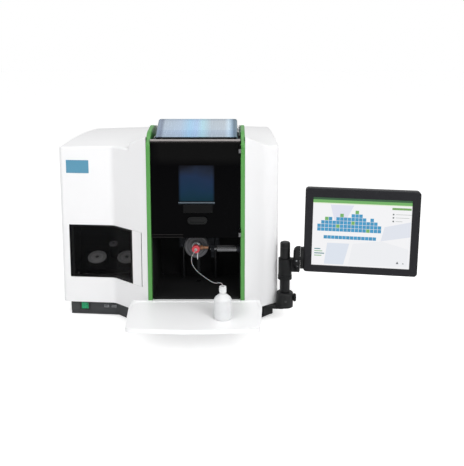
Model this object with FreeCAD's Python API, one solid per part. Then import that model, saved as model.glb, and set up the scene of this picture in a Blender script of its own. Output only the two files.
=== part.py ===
"""Bench-top atomic absorption spectrometer with a flame burner, lamp bay and side screen.

Every piece is modelled in millimetres, +Z up.  While it is being modelled, x = 0 is the
middle of the burner bay, y = 0 the front face of the bay's trims (+y runs to the back) and
z = 0 the bench.  At the end all pieces are shifted so that the origin is the middle of the
footprint of the whole instrument.
"""
import FreeCAD
import Part

import math
import os

from FreeCAD import Vector

# Housing
HOUSING_LEFT = -424.0
HOUSING_RIGHT = 247.0
HOUSING_BACK = 680.0
WING_FRONT_LEFT = 120.0
WING_FRONT_INNER = 106.0
WING_CORNER_X = -259.0
RIGHT_SWEEP_X = 202.0
RIGHT_SWEEP_Y = 79.0
RIGHT_CORNER_Y = 111.0
SEAM_Y = 4.0
COVER_WALL = 3.0
COVER_LIP = 27.0
COVER_EDGE_RADIUS = 6.0
ROOF_LEFT_Z = 530.0
ROOF_SEAM_Z = 541.0
ROOF_CROWN = 13.0
FAIRING_Z = 585.0
FAIRING_SIDE_SLOPE = 0.343
FAIRING_BACK_SLOPE = 0.153
REAR_PANEL_WALL = 4.0

# Base
FOOT_HEIGHT = 12.0
FOOT_RADIUS = 21.0
PLINTH_TOP = 49.0
PLINTH_RECESS = 18.0
PLINTH_WALL = 4.0
PAN_FLOOR = 4.0

# Burner bay
BAY_HALF = 130.0
BAY_BACK = 236.0
BAY_FRONT = 16.0
BAY_FLOOR_Z = 96.0
BAY_FLOOR_WALL = 3.0
LINER_WALL = 2.0
LINER_TOP = 562.0
TRIM_FACE = 12.5
SEAM_GAP = 0.5
SEAM_X = BAY_HALF + TRIM_FACE + SEAM_GAP
TRIM_DEPTH = 26.0
TRIM_CREST_Y = 130.0
TRIM_CREST_Z = 606.0
TRIM_RISE = 58.0
TRIM_BEND_Z = TRIM_CREST_Z - TRIM_RISE
TRIM_BACK = 150.0
BEAM_Y = 135.0
BEAM_Z = 412.0
BEAM_RADIUS = 14.0

# Burner bay door
DOOR_BOTTOM = 287.0
DOOR_TOP = 578.0
DOOR_SKIN = 3.0
DOOR_DEPTH = 12.0
DOOR_GAP = 1.0
DOOR_HINGE_INSET = 2.5
DOOR_HINGE_X = BAY_HALF - DOOR_HINGE_INSET
DOOR_HINGE_Y = -3.5
KNUCKLE_RADIUS = 3.3
HINGE_PIN_RADIUS = 1.5
PIN_CLEARANCE = 0.05
WINDOW_LEFT = -49.0
WINDOW_RIGHT = 54.5
WINDOW_BOTTOM = 396.0
WINDOW_TOP = 502.0
WINDOW_GLASS = 4.0

# Burner and its height drive
CHAMBER_X = -2.0
CHAMBER_Z = 245.0
CHAMBER_RADIUS = 30.0
CHAMBER_FRONT = 72.0
CHAMBER_BACK = 190.0
CAP_RADIUS = 36.5
CAP_DEPTH = 14.0
NECK_RADIUS = 15.0
HEAD_LENGTH = 112.0
HEAD_WIDTH = 30.0
HEAD_BOTTOM = 360.0
HEAD_TOP = 396.0
SLOT_LENGTH = 100.0
SLOT_WIDTH = 1.0
NEBULIZER_RADIUS = 10.0
NEB_KNOB_RADIUS = 12.0
NEB_KNOB_LENGTH = 13.0
ROD_RADIUS = 5.0
ROD_SPACING = 104.0
ROD_Y = 206.0
GEAR_TEETH = 16
GEAR_MODULE = 1.0
GEAR_WIDTH = 10.0
BACKLASH = 0.2
DRIVE_Y = 45.0
DRIVE_Z = 242.0
DRIVE_GEAR_X = 47.0
TRAVEL_UP = 8.0
TRAVEL_DOWN = 3.0

# Lamp bay
LAMP_BAY_LEFT = -399.0
LAMP_BAY_RIGHT = -161.5
LAMP_STRIP_X = -194.0
LAMP_BAY_BOTTOM = 130.0
LAMP_BAY_TOP = 297.5
LAMP_BAY_MARGIN = 11.0
LAMP_BAY_BACK = 300.0
LAMP_DOOR_GAP = 0.9
LAMP_DOOR_SLIT = 2.2
LAMP_DOOR_PANE = 4.0
LAMP_DOOR_RAIL = 4.0
LAMP_TILT = 67.0
LAMP_Y = 200.0
LAMP_Z = 170.0
LAMP_CAP_LENGTH = 30.0
LAMP_LENGTH = 138.0
CRADLE_WALL = 12.0

# Front shelf and sample bottle
TRAY_TOP = 96.0
TRAY_DEPTH = 213.0
TRAY_HEIGHT = 11.0
TRAY_WALL = 2.5
TRAY_HALF_BACK = 187.0
TRAY_HALF_WIDE = 192.0
TRAY_HALF_FRONT = 180.0
BOTTLE_X = 80.0
BOTTLE_Y = -130.0
BOTTLE_RADIUS = 24.0
BOTTLE_WALL = 1.5
BOTTLE_SHOULDER = 56.0
BOTTLE_NECK_Z = 74.0
NECK_OUTER = 8.0
CAP_OUTER = 9.5
CAP_HEIGHT = 18.0
TUBE_RADIUS = 1.0
TUBE_HOLE_RADIUS = 5.0

# Switch and ports
ROCKER_X = -360.0
ROCKER_WIDTH = 21.5
ROCKER_HEIGHT = 21.0
PORT_Z = 30.5

# Screen and its arm
POLE_X = 268.0
POLE_Y = 89.0
POLE_RADIUS = 15.5
POLE_TOP = 251.0
BOSS_RADIUS = 26.0
BOSS_BOTTOM = 46.0
BOSS_TOP = 92.0
PAD_DEPTH = 12.0
COLLAR_RADIUS = 20.5
COLLAR_BOTTOM = 134.0
COLLAR_TOP = 199.0
COLLAR_CLEARANCE = 0.3
SCREEN_PAN_DEG = -6.4
SCREEN_SAG_DEG = 1.0
TILT_Z = 197.0
TILT_Y = 8.0
TILT_RADIUS = 38.0
SCREEN_LEFT_U = 56.0
SCREEN_CENTRE_Z = 291.7
SCREEN_WIDTH = 340.0
SCREEN_CENTRE_U = SCREEN_LEFT_U + SCREEN_WIDTH / 2
SCREEN_HEIGHT = 260.0
SCREEN_DEPTH = 40.0
SCREEN_ACTIVE_WIDTH = 292.0
SCREEN_ACTIVE_HEIGHT = 211.0
SCREEN_BEZEL_BOTTOM = 22.0
SCREEN_CORNER = 10.0

# Back and underside
FOOT_PLACES = [(-375.0, 180.0), (205.0, 180.0), (-375.0, 630.0), (205.0, 630.0)]
FAN_X = -300.0
FAN_Z = 230.0
FAN_RINGS = [(14.0, 24.0), (29.0, 39.0), (44.0, 54.0)]
INLET_X = (170.0, 198.0)
INLET_Z = (90.0, 114.0)
GAS_PORT_X = 60.0
GAS_PORTS_Z = (120.0, 175.0)
GAS_PORT_RADIUS = 9.0
TRAY_RIBS_X = (-90.0, 90.0)

# Hood, door furniture and small drive sizes
SHIELD_MARGINS = (13.0, 9.0)
SHIELD_LEFT = BAY_HALF - SHIELD_MARGINS[0]
SHIELD_RIGHT = BAY_HALF - SHIELD_MARGINS[1]
SHIELD_FRONT = 14.0
SHIELD_FRONT_Z = 584.0
SHIELD_CREST_Y = 125.0
SHIELD_CREST_Z = 624.0
SHIELD_WALL = 2.0
DOOR_FACE_Y = 0.5
HINGE_PLACES = (304.0, 550.0)
HINGE_HALF = 12.0
LATCH_X = (-36.0, 49.0)
LATCH_Z = (361.0, 388.0)
PULL_X = 4.5
PULL_Z = 340.0
PULL_WIDTH = 57.0
PULL_HEIGHT = 22.0
SPIGOT_RADIUS = 4.0
SPIGOT_END = 23.0
SHAFT_RADIUS = 4.0
KNOB_START = 59.0
HEIGHT_KNOB_RADIUS = 10.5
FLANGE_WIDTH = 8.0
JOURNAL_RADIUS = 6.0
DRAIN_END = 125.0

# Lamps
LAMP_LEFT_X = -332.0
LAMP_RIGHT_X = -236.0
LAMP_CAP_RADIUS = 31.0
LAMP_GLASS_RADIUS = 25.4
SMALL_LAMP_X = -284.0
SMALL_LAMP_BACK = 42.0
SMALL_LAMP_TOP = 20.0
SMALL_CAP_RADIUS = 14.0
SMALL_GLASS_RADIUS = 11.0
CRADLE_LEFT = -388.0
CRADLE_RIGHT = -182.0

# Switch, ports, screen arm and inner boxes
SWITCH_BODY_X = 14.0
SWITCH_BODY_Z = 12.6
ROCKER_PIVOT = 4.0
PORTS_X = (-291.0, -267.0)
PORT_HALF_X = 7.4
PORT_HALF_Z = 3.7
POLE_BASE = 52.0
CLAMP_HEIGHT = 12.0
TILT_FACE_U = 46.0
CHEEK_WIDTH = 21.0
HUB_FLAT_Z = 173.0
TILT_PIN_RADIUS = 5.0
SCREEN_FRONT = -10.0
BENCH_Z = 300.0
BENCH_LEGS = [(-385.0, 335.0), (206.0, 335.0), (-385.0, 640.0), (0.0, 640.0)]
PSU_X = (104.0, 215.0)
GAS_PORT_REACH = 18.0
GAS_BORE_RADIUS = 4.5

# Route of the sample tube, from the nebulizer to the inside of the bottle
TUBE_ROUTE = [
    (-2.0, 23.0, 245.0), (-2.0, 14.0, 245.0), (-8.0, 5.0, 239.5), (-13.5, -4.0, 229.0),
    (-12.5, -14.0, 217.0), (-5.5, -26.0, 207.5), (6.0, -42.0, 199.5), (22.0, -62.0, 194.0),
    (38.0, -84.0, 190.5), (51.0, -103.0, 189.5), (60.5, -115.5, 191.0), (68.0, -122.5, 195.0),
    (77.0, -129.2, 196.5), (81.0, -131.0, 187.5), (80.2, -130.0, 177.0), (80.6, -130.4, 167.0),
    (79.8, -129.5, 155.0), (81.0, -130.8, 138.0), (80.4, -130.2, 121.0),
]


def block(x0, x1, y0, y1, z0, z1):
    return Part.makeBox(x1 - x0, y1 - y0, z1 - z0, Vector(x0, y0, z0))


def rod(axis, centre, radius, start, end):
    """Round bar along x, y or z; centre holds the two other coordinates in order."""
    a, b = centre
    base, way = {
        "x": (Vector(start, a, b), Vector(1, 0, 0)),
        "y": (Vector(a, start, b), Vector(0, 1, 0)),
        "z": (Vector(a, b, start), Vector(0, 0, 1)),
    }[axis]
    return Part.makeCylinder(radius, end - start, base, way)


def fuse(first, *others):
    return first.multiFuse(list(others)).removeSplitter()


def inset_outline(points, distances):
    """Move each side of a counter-clockwise outline inwards by its own distance."""
    count = len(points)
    lines = []
    for i in range(count):
        (x0, y0), (x1, y1) = points[i], points[(i + 1) % count]
        length = math.hypot(x1 - x0, y1 - y0)
        nx, ny = -(y1 - y0) / length, (x1 - x0) / length
        lines.append((nx, ny, nx * x0 + ny * y0 + distances[i]))
    moved = []
    for i in range(count):
        a1, b1, c1 = lines[i - 1]
        a2, b2, c2 = lines[i]
        det = a1 * b2 - a2 * b1
        moved.append(((c1 * b2 - c2 * b1) / det, (a1 * c2 - a2 * c1) / det))
    return moved


def outline_face(points, radii, place):
    """Face of an outline whose corners are rounded; place turns 2-D points into vectors."""
    count = len(points)
    ends = []
    for i in range(count):
        corner = Vector(points[i][0], points[i][1], 0)
        back = Vector(points[i - 1][0], points[i - 1][1], 0) - corner
        ahead = Vector(points[(i + 1) % count][0], points[(i + 1) % count][1], 0) - corner
        back.normalize()
        ahead.normalize()
        half = back.getAngle(ahead) / 2.0
        radius = radii[i]
        if radius == 0:
            ends.append((corner, None, corner))
            continue
        reach = radius / math.tan(half)
        bisector = back + ahead
        bisector.normalize()
        centre = corner + bisector * (radius / math.sin(half))
        ends.append((corner + back * reach, centre - bisector * radius, corner + ahead * reach))
    edges = []
    for i in range(count):
        start, middle, end = ends[i]
        if middle is not None:
            edges.append(Part.Arc(place(start), place(middle), place(end)).toShape())
        following = ends[(i + 1) % count][0]
        if (following - end).Length > 1e-6:
            edges.append(Part.LineSegment(place(end), place(following)).toShape())
    return Part.Face(Part.Wire(edges))


def plan_prism(points, radii, z0, z1):
    face = outline_face(points, radii, lambda p: Vector(p.x, p.y, z0))
    return face.extrude(Vector(0, 0, z1 - z0))


def side_prism(points, radii, x0, x1):
    """Outline given as (y, z), drawn out along x."""
    face = outline_face(points, radii, lambda p: Vector(x0, p.x, p.y))
    return face.extrude(Vector(x1 - x0, 0, 0))


def front_prism(points, radii, y0, y1):
    """Outline given as (x, z), drawn out along y."""
    face = outline_face(points, radii, lambda p: Vector(p.x, y0, p.y))
    return face.extrude(Vector(0, y1 - y0, 0))


def rounded_bar(x0, x1, y0, y1, z0, z1, radius):
    """Block whose four upright corners are rounded."""
    return plan_prism([(x0, y0), (x1, y0), (x1, y1), (x0, y1)], [radius] * 4, z0, z1)


def turned(points):
    """Solid of revolution about z through the origin, from (radius, z) points."""
    vectors = [Vector(r, 0, z) for r, z in points]
    face = Part.Face(Part.makePolygon(vectors + [vectors[0]]))
    return face.revolve(Vector(0, 0, 0), Vector(0, 0, 1), 360)


def moved(shape, x, y, z):
    copy = shape.copy()
    copy.translate(Vector(x, y, z))
    return copy


def mirrored(shape):
    return shape.mirror(Vector(0, 0, 0), Vector(1, 0, 0))


def wing_line_y(x, inset=0.0):
    """Front face of the left wing at x, moved inwards by inset."""
    slope = (WING_FRONT_INNER - WING_FRONT_LEFT) / (WING_CORNER_X - HOUSING_LEFT)
    return WING_FRONT_LEFT + slope * (x - HOUSING_LEFT) + inset * math.hypot(1, slope)


def wing_angle():
    return math.degrees(math.atan2(WING_FRONT_INNER - WING_FRONT_LEFT, WING_CORNER_X - HOUSING_LEFT))


def on_wing(shape, x, z, inset):
    """Put a piece drawn at the origin, looking along -y, on the left wing's face."""
    copy = shape.copy()
    copy.rotate(Vector(0, 0, 0), Vector(0, 0, 1), wing_angle())
    copy.translate(Vector(x, wing_line_y(x, inset), z))
    return copy


def left_plan(side, rear, seam):
    outline = [
        (-SEAM_X, SEAM_Y), (-SEAM_X, HOUSING_BACK), (HOUSING_LEFT, HOUSING_BACK),
        (HOUSING_LEFT, WING_FRONT_LEFT), (WING_CORNER_X, WING_FRONT_INNER),
    ]
    return inset_outline(outline, [seam, rear, side, side, side])


def left_radii(side):
    return [0, 0, max(12 - side, 1), max(14 - side, 1), max(30 - side, 3)]


def right_plan(side, rear, seam):
    outline = [
        (SEAM_X, SEAM_Y), (RIGHT_SWEEP_X, RIGHT_SWEEP_Y), (HOUSING_RIGHT, RIGHT_CORNER_Y),
        (HOUSING_RIGHT, HOUSING_BACK), (SEAM_X, HOUSING_BACK),
    ]
    return inset_outline(outline, [side, side, side, rear, seam])


def whole_plan(inset):
    outline = [
        (-SEAM_X, SEAM_Y), (SEAM_X, SEAM_Y), (RIGHT_SWEEP_X, RIGHT_SWEEP_Y),
        (HOUSING_RIGHT, RIGHT_CORNER_Y), (HOUSING_RIGHT, HOUSING_BACK),
        (HOUSING_LEFT, HOUSING_BACK), (HOUSING_LEFT, WING_FRONT_LEFT),
        (WING_CORNER_X, WING_FRONT_INNER),
    ]
    return inset_outline(outline, [inset] * len(outline))


def roof_solid(drop, x0, x1, fall):
    """Space under the crowned roof between x0 and x1, which falls by fall on the way."""
    front, back = -60.0, HOUSING_BACK + 60.0
    z = ROOF_SEAM_Z - drop
    arc = Part.Arc(
        Vector(x0, front, z - ROOF_CROWN * 0.25),
        Vector(x0, (front + back) / 2, z + ROOF_CROWN),
        Vector(x0, back, z - ROOF_CROWN * 0.25),
    ).toShape()
    ends = [vertex.Point for vertex in arc.Vertexes]
    low = [Vector(x0, ends[1].y, PLINTH_TOP - 40), Vector(x0, ends[0].y, PLINTH_TOP - 40)]
    edges = [arc]
    for a, b in ((ends[1], low[0]), (low[0], low[1]), (low[1], ends[0])):
        edges.append(Part.LineSegment(a, b).toShape())
    face = Part.Face(Part.Wire(edges))
    return face.extrude(Vector(x1 - x0, 0, -fall))


def fairing_solid(drop, x0, x1):
    """Space under the slope that rises from the roof to the bay's trim."""
    length = (FAIRING_Z - ROOF_SEAM_Z + 40) / FAIRING_BACK_SLOPE
    z = FAIRING_Z - drop
    points = [
        Vector(x0, SEAM_Y - 20, PLINTH_TOP + 60), Vector(x0, SEAM_Y + length, PLINTH_TOP + 60),
        Vector(x0, SEAM_Y + length, z - length * FAIRING_BACK_SLOPE),
        Vector(x0, SEAM_Y - 20, z + 20 * FAIRING_BACK_SLOPE),
    ]
    face = Part.Face(Part.makePolygon(points + [points[0]]))
    reach = x1 - x0
    return face.extrude(Vector(reach, 0, -abs(reach) * FAIRING_SIDE_SLOPE))


def left_block(side, rear, seam, drop, z0):
    plan = plan_prism(left_plan(side, rear, seam), left_radii(side), z0, 700)
    x0 = -SEAM_X + 20
    fall = ROOF_SEAM_Z - ROOF_LEFT_Z
    roof = plan.common(roof_solid(drop, x0, HOUSING_LEFT - 20, fall))
    fairing = plan.common(fairing_solid(drop, -SEAM_X, WING_CORNER_X + 60))
    return fuse(roof, fairing)


def right_block(side, rear, seam, drop, z0):
    radii = [0, 90, max(14 - side, 1), max(12 - side, 1), 0]
    plan = plan_prism(right_plan(side, rear, seam), radii, z0, 700)
    roof = plan.common(roof_solid(drop, SEAM_X - 20, HOUSING_RIGHT + 20, 4))
    fairing = plan.common(fairing_solid(drop, SEAM_X, HOUSING_RIGHT + 20))
    return fuse(roof, fairing)


def roof_edges(shape):
    """Top edges of the outer walls, apart from those at the seam and at the back."""
    picked = []
    for face in shape.Faces:
        if face.BoundBox.ZMin > PLINTH_TOP + 50:
            continue
        for edge in face.Edges:
            box = edge.BoundBox
            on_seam = box.XMax - box.XMin < 0.5 and abs(abs(box.XMin) - SEAM_X) < 0.5
            on_back = box.YMin > HOUSING_BACK - REAR_PANEL_WALL - 1
            if box.ZMin > 500 and not on_seam and not on_back:
                picked.append(edge)
    return picked


def wing_shell(block_of):
    """Moulded cover: rounded outside, even wall, and a lip that stands on the plinth."""
    outer = block_of(0, REAR_PANEL_WALL, 0, 0, PLINTH_TOP)
    outer = outer.makeFillet(COVER_EDGE_RADIUS, roof_edges(outer))
    hollow = block_of(COVER_WALL, -20, -20, COVER_WALL, PLINTH_TOP + COVER_WALL)
    mouth = block_of(COVER_LIP, -20, -20, 100, PLINTH_TOP - 10)
    return outer.cut(hollow).cut(mouth)


def lamp_door_axis():
    """Where the lamp door turns: half a pane behind the wing's face, at the door's left end."""
    x = LAMP_BAY_LEFT + LAMP_DOOR_GAP + LAMP_DOOR_PANE
    return x, wing_line_y(x, LAMP_DOOR_PANE)


def left_cover():
    cover = wing_shell(left_block)
    x, y = lamp_door_axis()
    boss_radius = LAMP_DOOR_PANE + 1.5
    below = rod("z", (x, y), boss_radius, LAMP_BAY_BOTTOM - 9, LAMP_BAY_BOTTOM)
    above = rod("z", (x, y), boss_radius, LAMP_BAY_TOP, LAMP_BAY_TOP + 9)
    inside = plan_prism(left_plan(0.5, 0, 0), left_radii(0.5), 60, 400)
    cover = fuse(cover, below.common(inside), above.common(inside))
    window = block(LAMP_BAY_LEFT, LAMP_BAY_RIGHT, 0, WING_FRONT_LEFT + 12, LAMP_BAY_BOTTOM, LAMP_BAY_TOP)
    bore = rod("z", (x, y), HINGE_PIN_RADIUS + PIN_CLEARANCE, LAMP_BAY_BOTTOM - 8, LAMP_BAY_TOP + 8)
    return cover.cut(window).cut(bore)


def right_cover():
    return wing_shell(right_block)


def cowl_profile(drop):
    """Side view of the roof strip behind the bay, and of the hood that joins it to the trims."""
    return [
        (TRIM_BACK + 0.4, LINER_TOP + 8), (BAY_BACK - 2, LINER_TOP + 8), (BAY_BACK + 30, 530),
        (HOUSING_BACK - REAR_PANEL_WALL, 530), (HOUSING_BACK - REAR_PANEL_WALL, 545 - drop),
        (BAY_BACK + 170, 556 - drop), (BAY_BACK + 84, 556 - drop), (BAY_BACK + 2, 584 - drop),
        (TRIM_BACK + 0.4, TRIM_CREST_Z - 4 - drop),
    ]


def centre_cover():
    half = SEAM_X - 0.4
    radii = [0, 0, 0, 0, 0, 400, 60, 20, 0]
    outer = side_prism(cowl_profile(0), radii, -half, half)
    under = side_prism(
        [(BAY_BACK + 2, 500), (HOUSING_BACK, 500), (HOUSING_BACK, 542), (BAY_BACK + 170, 553),
         (BAY_BACK + 84, 553), (BAY_BACK + 2, 581)],
        [0, 0, 0, 400, 60, 0], -half + COVER_WALL, half - COVER_WALL)
    flue = block(-BAY_HALF + 4, BAY_HALF - 4, TRIM_BACK - 10, BAY_BACK - 3, 500, 700)
    return outer.cut(under).cut(flue)


def rear_panel():
    """Steel plate across the back with a louvred field, a fan grille and the inlet cut-outs."""
    def slab(solid):
        return solid.common(block(-500, 300, HOUSING_BACK - REAR_PANEL_WALL, HOUSING_BACK, 0, 700))
    left = slab(left_block(0, 0, 0, 0, PLINTH_TOP))
    right = slab(right_block(0, 0, 0, 0, PLINTH_TOP))
    middle = block(-SEAM_X, SEAM_X, HOUSING_BACK - REAR_PANEL_WALL, HOUSING_BACK, PLINTH_TOP, 541)
    panel = fuse(left, middle, right)
    cuts = [rounded_slot(x, z) for x in range(-380, -219, 32) for z in range(380, 461, 16)]
    cuts += fan_grille_cuts()
    cuts.append(block(*INLET_X, HOUSING_BACK - 10, HOUSING_BACK + 10, *INLET_Z))
    for z in GAS_PORTS_Z:
        cuts.append(rod("y", (GAS_PORT_X, z), GAS_PORT_RADIUS + 0.2, HOUSING_BACK - 10, HOUSING_BACK + 10))
    return panel.cut(Part.makeCompound(cuts))


def rounded_slot(x, z):
    y0, y1 = HOUSING_BACK - 10, HOUSING_BACK + 10
    return front_prism([(x - 12, z - 2.5), (x + 12, z - 2.5), (x + 12, z + 2.5), (x - 12, z + 2.5)],
                       [2.4] * 4, y0, y1)


def fan_grille_cuts():
    """Three rings of curved slots, parted by four spokes."""
    cuts = []
    for inner, outer in FAN_RINGS:
        ring = rod("y", (FAN_X, FAN_Z), outer, HOUSING_BACK - 10, HOUSING_BACK + 10)
        ring = ring.cut(rod("y", (FAN_X, FAN_Z), inner, HOUSING_BACK - 11, HOUSING_BACK + 11))
        spokes = block(FAN_X - 3, FAN_X + 3, 600, 700, FAN_Z - 80, FAN_Z + 80)
        ring = ring.cut(spokes).cut(block(FAN_X - 80, FAN_X + 80, 600, 700, FAN_Z - 3, FAN_Z + 3))
        cuts.append(ring)
    return cuts


def base_pan():
    """Folded steel pan that carries everything; its wall stands back under the covers."""
    radii = [0, 0, 60, 6, 6, 6, 6, 20]
    outer = plan_prism(whole_plan(PLINTH_RECESS), radii, FOOT_HEIGHT, PLINTH_TOP)
    inner = plan_prism(whole_plan(PLINTH_RECESS + PLINTH_WALL), radii, FOOT_HEIGHT + PAN_FLOOR, PLINTH_TOP + 1)
    bearer = block(-SEAM_X, SEAM_X, BAY_BACK - 26, BAY_BACK, FOOT_HEIGHT + 1, PLINTH_TOP)
    return fuse(outer.cut(inner), bearer).cut(switch_panel_cuts())


def rubber_feet():
    foot = turned([(0, 0), (FOOT_RADIUS - 3, 0), (FOOT_RADIUS, 3), (FOOT_RADIUS - 2, FOOT_HEIGHT),
                   (0, FOOT_HEIGHT)])
    return Part.makeCompound([moved(foot, x, y, 0) for x, y in FOOT_PLACES])


def bay_trim():
    """Green trim right of the bay: upright front that bends back over the hood."""
    points = [
        (0, PLINTH_TOP), (TRIM_DEPTH, PLINTH_TOP), (TRIM_DEPTH, TRIM_BEND_Z - 16),
        (TRIM_BACK - 60, LINER_TOP + 8.2), (TRIM_BACK, LINER_TOP + 8.2), (TRIM_BACK, TRIM_CREST_Z - 4),
        (TRIM_CREST_Y - 10, TRIM_CREST_Z), (36, TRIM_CREST_Z - 12), (0, TRIM_BEND_Z + 14),
    ]
    radii = [0, 0, 40, 60, 0, 3, 80, 55, 20]
    trim = side_prism(points, radii, BAY_HALF + 0.4, BAY_HALF + TRIM_FACE)
    front = [edge for edge in trim.Edges if edge.BoundBox.YMax < 1 and edge.BoundBox.ZLength > 300]
    return trim.makeFillet(2.0, front)


def front_sill():
    """White panel under the shelf, with the two gussets that carry the shelf."""
    sill = block(-BAY_HALF, BAY_HALF, SEAM_Y, BAY_FRONT, PLINTH_TOP, BAY_FLOOR_Z)
    gusset = [(SEAM_Y, 54), (SEAM_Y, TRAY_TOP - TRAY_HEIGHT + 5), (-120, TRAY_TOP - TRAY_HEIGHT + 5),
              (-120, TRAY_TOP - TRAY_HEIGHT)]
    ribs = [side_prism(gusset[::-1], [0, 0, 0, 0], x - 2, x + 2) for x in TRAY_RIBS_X]
    return fuse(sill, *ribs)


def front_tray():
    """Shelf with a raised rim and a lip that hangs down all round."""
    bow = TRAY_DEPTH - 9
    points = [(-TRAY_HALF_BACK, -0.3), (-TRAY_HALF_WIDE, -52), (-TRAY_HALF_FRONT, -bow),
              (0, -TRAY_DEPTH - 1.5), (TRAY_HALF_FRONT, -bow), (TRAY_HALF_WIDE, -52), (TRAY_HALF_BACK, -0.3)]
    radii = [2, 60, 18, 900, 18, 60, 2]
    low, top = TRAY_TOP - TRAY_HEIGHT, TRAY_TOP
    outer = plan_prism(points, radii, low, top + 1.5)
    basin = inset_outline(points, [9.0] * 7)
    outer = outer.cut(plan_prism(basin, [4, 52, 12, 880, 12, 52, 4], top, top + 5))
    under = inset_outline(points, [TRAY_WALL] * 7)
    outer = outer.cut(plan_prism(under, [0, 58, 15, 890, 15, 58, 0], low - 1, top - TRAY_WALL))
    ribs = [block(x - 6, x + 6, -140, -TRAY_WALL, low + 5.2, top - TRAY_WALL) for x in TRAY_RIBS_X]
    notches = [block(x - 2.3, x + 2.3, -5, 1, low - 1, low + 5.2) for x in TRAY_RIBS_X]
    return fuse(outer, *ribs).cut(Part.makeCompound(notches))


def burner_bay_liner():
    """Black sheet-metal walls of the burner bay, open to the front and the top."""
    outer = block(-BAY_HALF, BAY_HALF, BAY_FRONT, BAY_BACK, PLINTH_TOP, LINER_TOP)
    inner = block(-BAY_HALF + LINER_WALL, BAY_HALF - LINER_WALL, BAY_FRONT - 1, BAY_BACK - LINER_WALL,
                  PLINTH_TOP - 1, LINER_TOP + 1)
    beam = rod("x", (BEAM_Y, BEAM_Z), BEAM_RADIUS, -BAY_HALF - 5, BAY_HALF + 5)
    return outer.cut(inner).cut(beam)


def burner_bay_floor():
    """Floor with a shallow rim; its front edge lies on the sill."""
    half = BAY_HALF - LINER_WALL - 0.2
    back = BAY_BACK - LINER_WALL - 0.2
    top = BAY_FLOOR_Z + BAY_FLOOR_WALL
    plate = rounded_bar(-half, half, BAY_FRONT - 4, back, BAY_FLOOR_Z, top + 3, 3)
    basin = rounded_bar(-half + 6, half - 6, BAY_FRONT + 2, back - 6, top, top + 5, 8)
    drain = rod("z", (CHAMBER_X, CHAMBER_BACK - 22), 9, BAY_FLOOR_Z - 5, top + 5)
    return plate.cut(basin).cut(drain)


def exhaust_frame():
    """Ring on top of the bay walls, round the way out for the hot gas."""
    half = BAY_HALF - 0.4
    ring = block(-half, half, BAY_FRONT, BAY_BACK - 2.2, LINER_TOP, LINER_TOP + 8)
    reach = BAY_HALF - 20
    return ring.cut(rounded_bar(-reach, reach, BAY_FRONT + 16, BAY_BACK - 12, LINER_TOP - 1, LINER_TOP + 9, 8))


def heat_shield():
    """Pressed steel hood over the bay: a slope that turns the exhaust to the back."""
    low = LINER_TOP + 8
    left, right = -SHIELD_LEFT, SHIELD_RIGHT
    outline = [(SHIELD_FRONT, low), (SHIELD_CREST_Y + 6, low), (SHIELD_CREST_Y + 6, SHIELD_CREST_Z),
               (SHIELD_CREST_Y - 6, SHIELD_CREST_Z), (SHIELD_FRONT, SHIELD_FRONT_Z)]
    shell = side_prism(outline, [0, 0, 6, 14, 0], left, right)
    shell = shell.makeFillet(7, [edge for edge in shell.Edges if edge.BoundBox.XLength < 0.1
                                 and edge.BoundBox.ZMin > SHIELD_FRONT_Z - 1])
    wall = SHIELD_WALL
    inside = [(SHIELD_FRONT - 4, low - 1), (SHIELD_CREST_Y + 6 - wall, low - 1),
              (SHIELD_CREST_Y + 6 - wall, SHIELD_CREST_Z - wall),
              (SHIELD_CREST_Y - 6, SHIELD_CREST_Z - wall), (SHIELD_FRONT, SHIELD_FRONT_Z - wall),
              (SHIELD_FRONT - 4, SHIELD_FRONT_Z - wall)]
    hollow = side_prism(inside, [0, 0, 4, 12, 0, 0], left + wall, right - wall)
    hollow = hollow.makeFillet(5, [edge for edge in hollow.Edges if edge.BoundBox.XLength < 0.1
                                   and edge.BoundBox.ZMin > SHIELD_FRONT_Z - wall - 1
                                   and edge.BoundBox.YMax > SHIELD_FRONT + 20])
    return shell.cut(hollow)


def beam_windows():
    """Quartz discs in flanged rings, outside the two side walls."""
    ring = turned([(0, 0.8), (BEAM_RADIUS - 1, 0.8), (BEAM_RADIUS - 1, 0), (BEAM_RADIUS + 5, 0),
                   (BEAM_RADIUS + 5, 2.4), (BEAM_RADIUS + 1, 4.4), (BEAM_RADIUS - 1, 4.4),
                   (BEAM_RADIUS - 1, 3), (0, 3)])
    ring.rotate(Vector(0, 0, 0), Vector(0, 1, 0), 90)
    right = moved(ring, BAY_HALF, BEAM_Y, BEAM_Z)
    return Part.makeCompound([right, mirrored(right)])


def burner_door():
    """Deep-drawn door: a skin with a return flange, a window and two hinge leaves."""
    half = BAY_HALF - DOOR_GAP
    front = DOOR_FACE_Y
    outer = block(-half, half, front, front + DOOR_DEPTH, DOOR_BOTTOM, DOOR_TOP)
    rim = [edge for edge in outer.Edges if edge.BoundBox.YMax < front + 0.1]
    outer = outer.makeFillet(1.2, rim)
    inner = block(-half + DOOR_SKIN, half - DOOR_SKIN, front + DOOR_SKIN, front + DOOR_DEPTH + 1,
                  DOOR_BOTTOM + DOOR_SKIN, DOOR_TOP - DOOR_SKIN)
    opening = front_prism([(WINDOW_LEFT, WINDOW_BOTTOM), (WINDOW_RIGHT, WINDOW_BOTTOM),
                           (WINDOW_RIGHT, WINDOW_TOP), (WINDOW_LEFT, WINDOW_TOP)], [3] * 4, -5, 20)
    door = outer.cut(inner).cut(opening)
    for z in HINGE_PLACES:
        door = door.fuse(hinge_leaf(DOOR_HINGE_X - 12, DOOR_HINGE_X, front, z + 0.2, z + HINGE_HALF))
    bore = rod("z", (DOOR_HINGE_X, DOOR_HINGE_Y), HINGE_PIN_RADIUS + PIN_CLEARANCE, DOOR_BOTTOM, DOOR_TOP)
    return door.cut(bore).removeSplitter()


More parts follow.
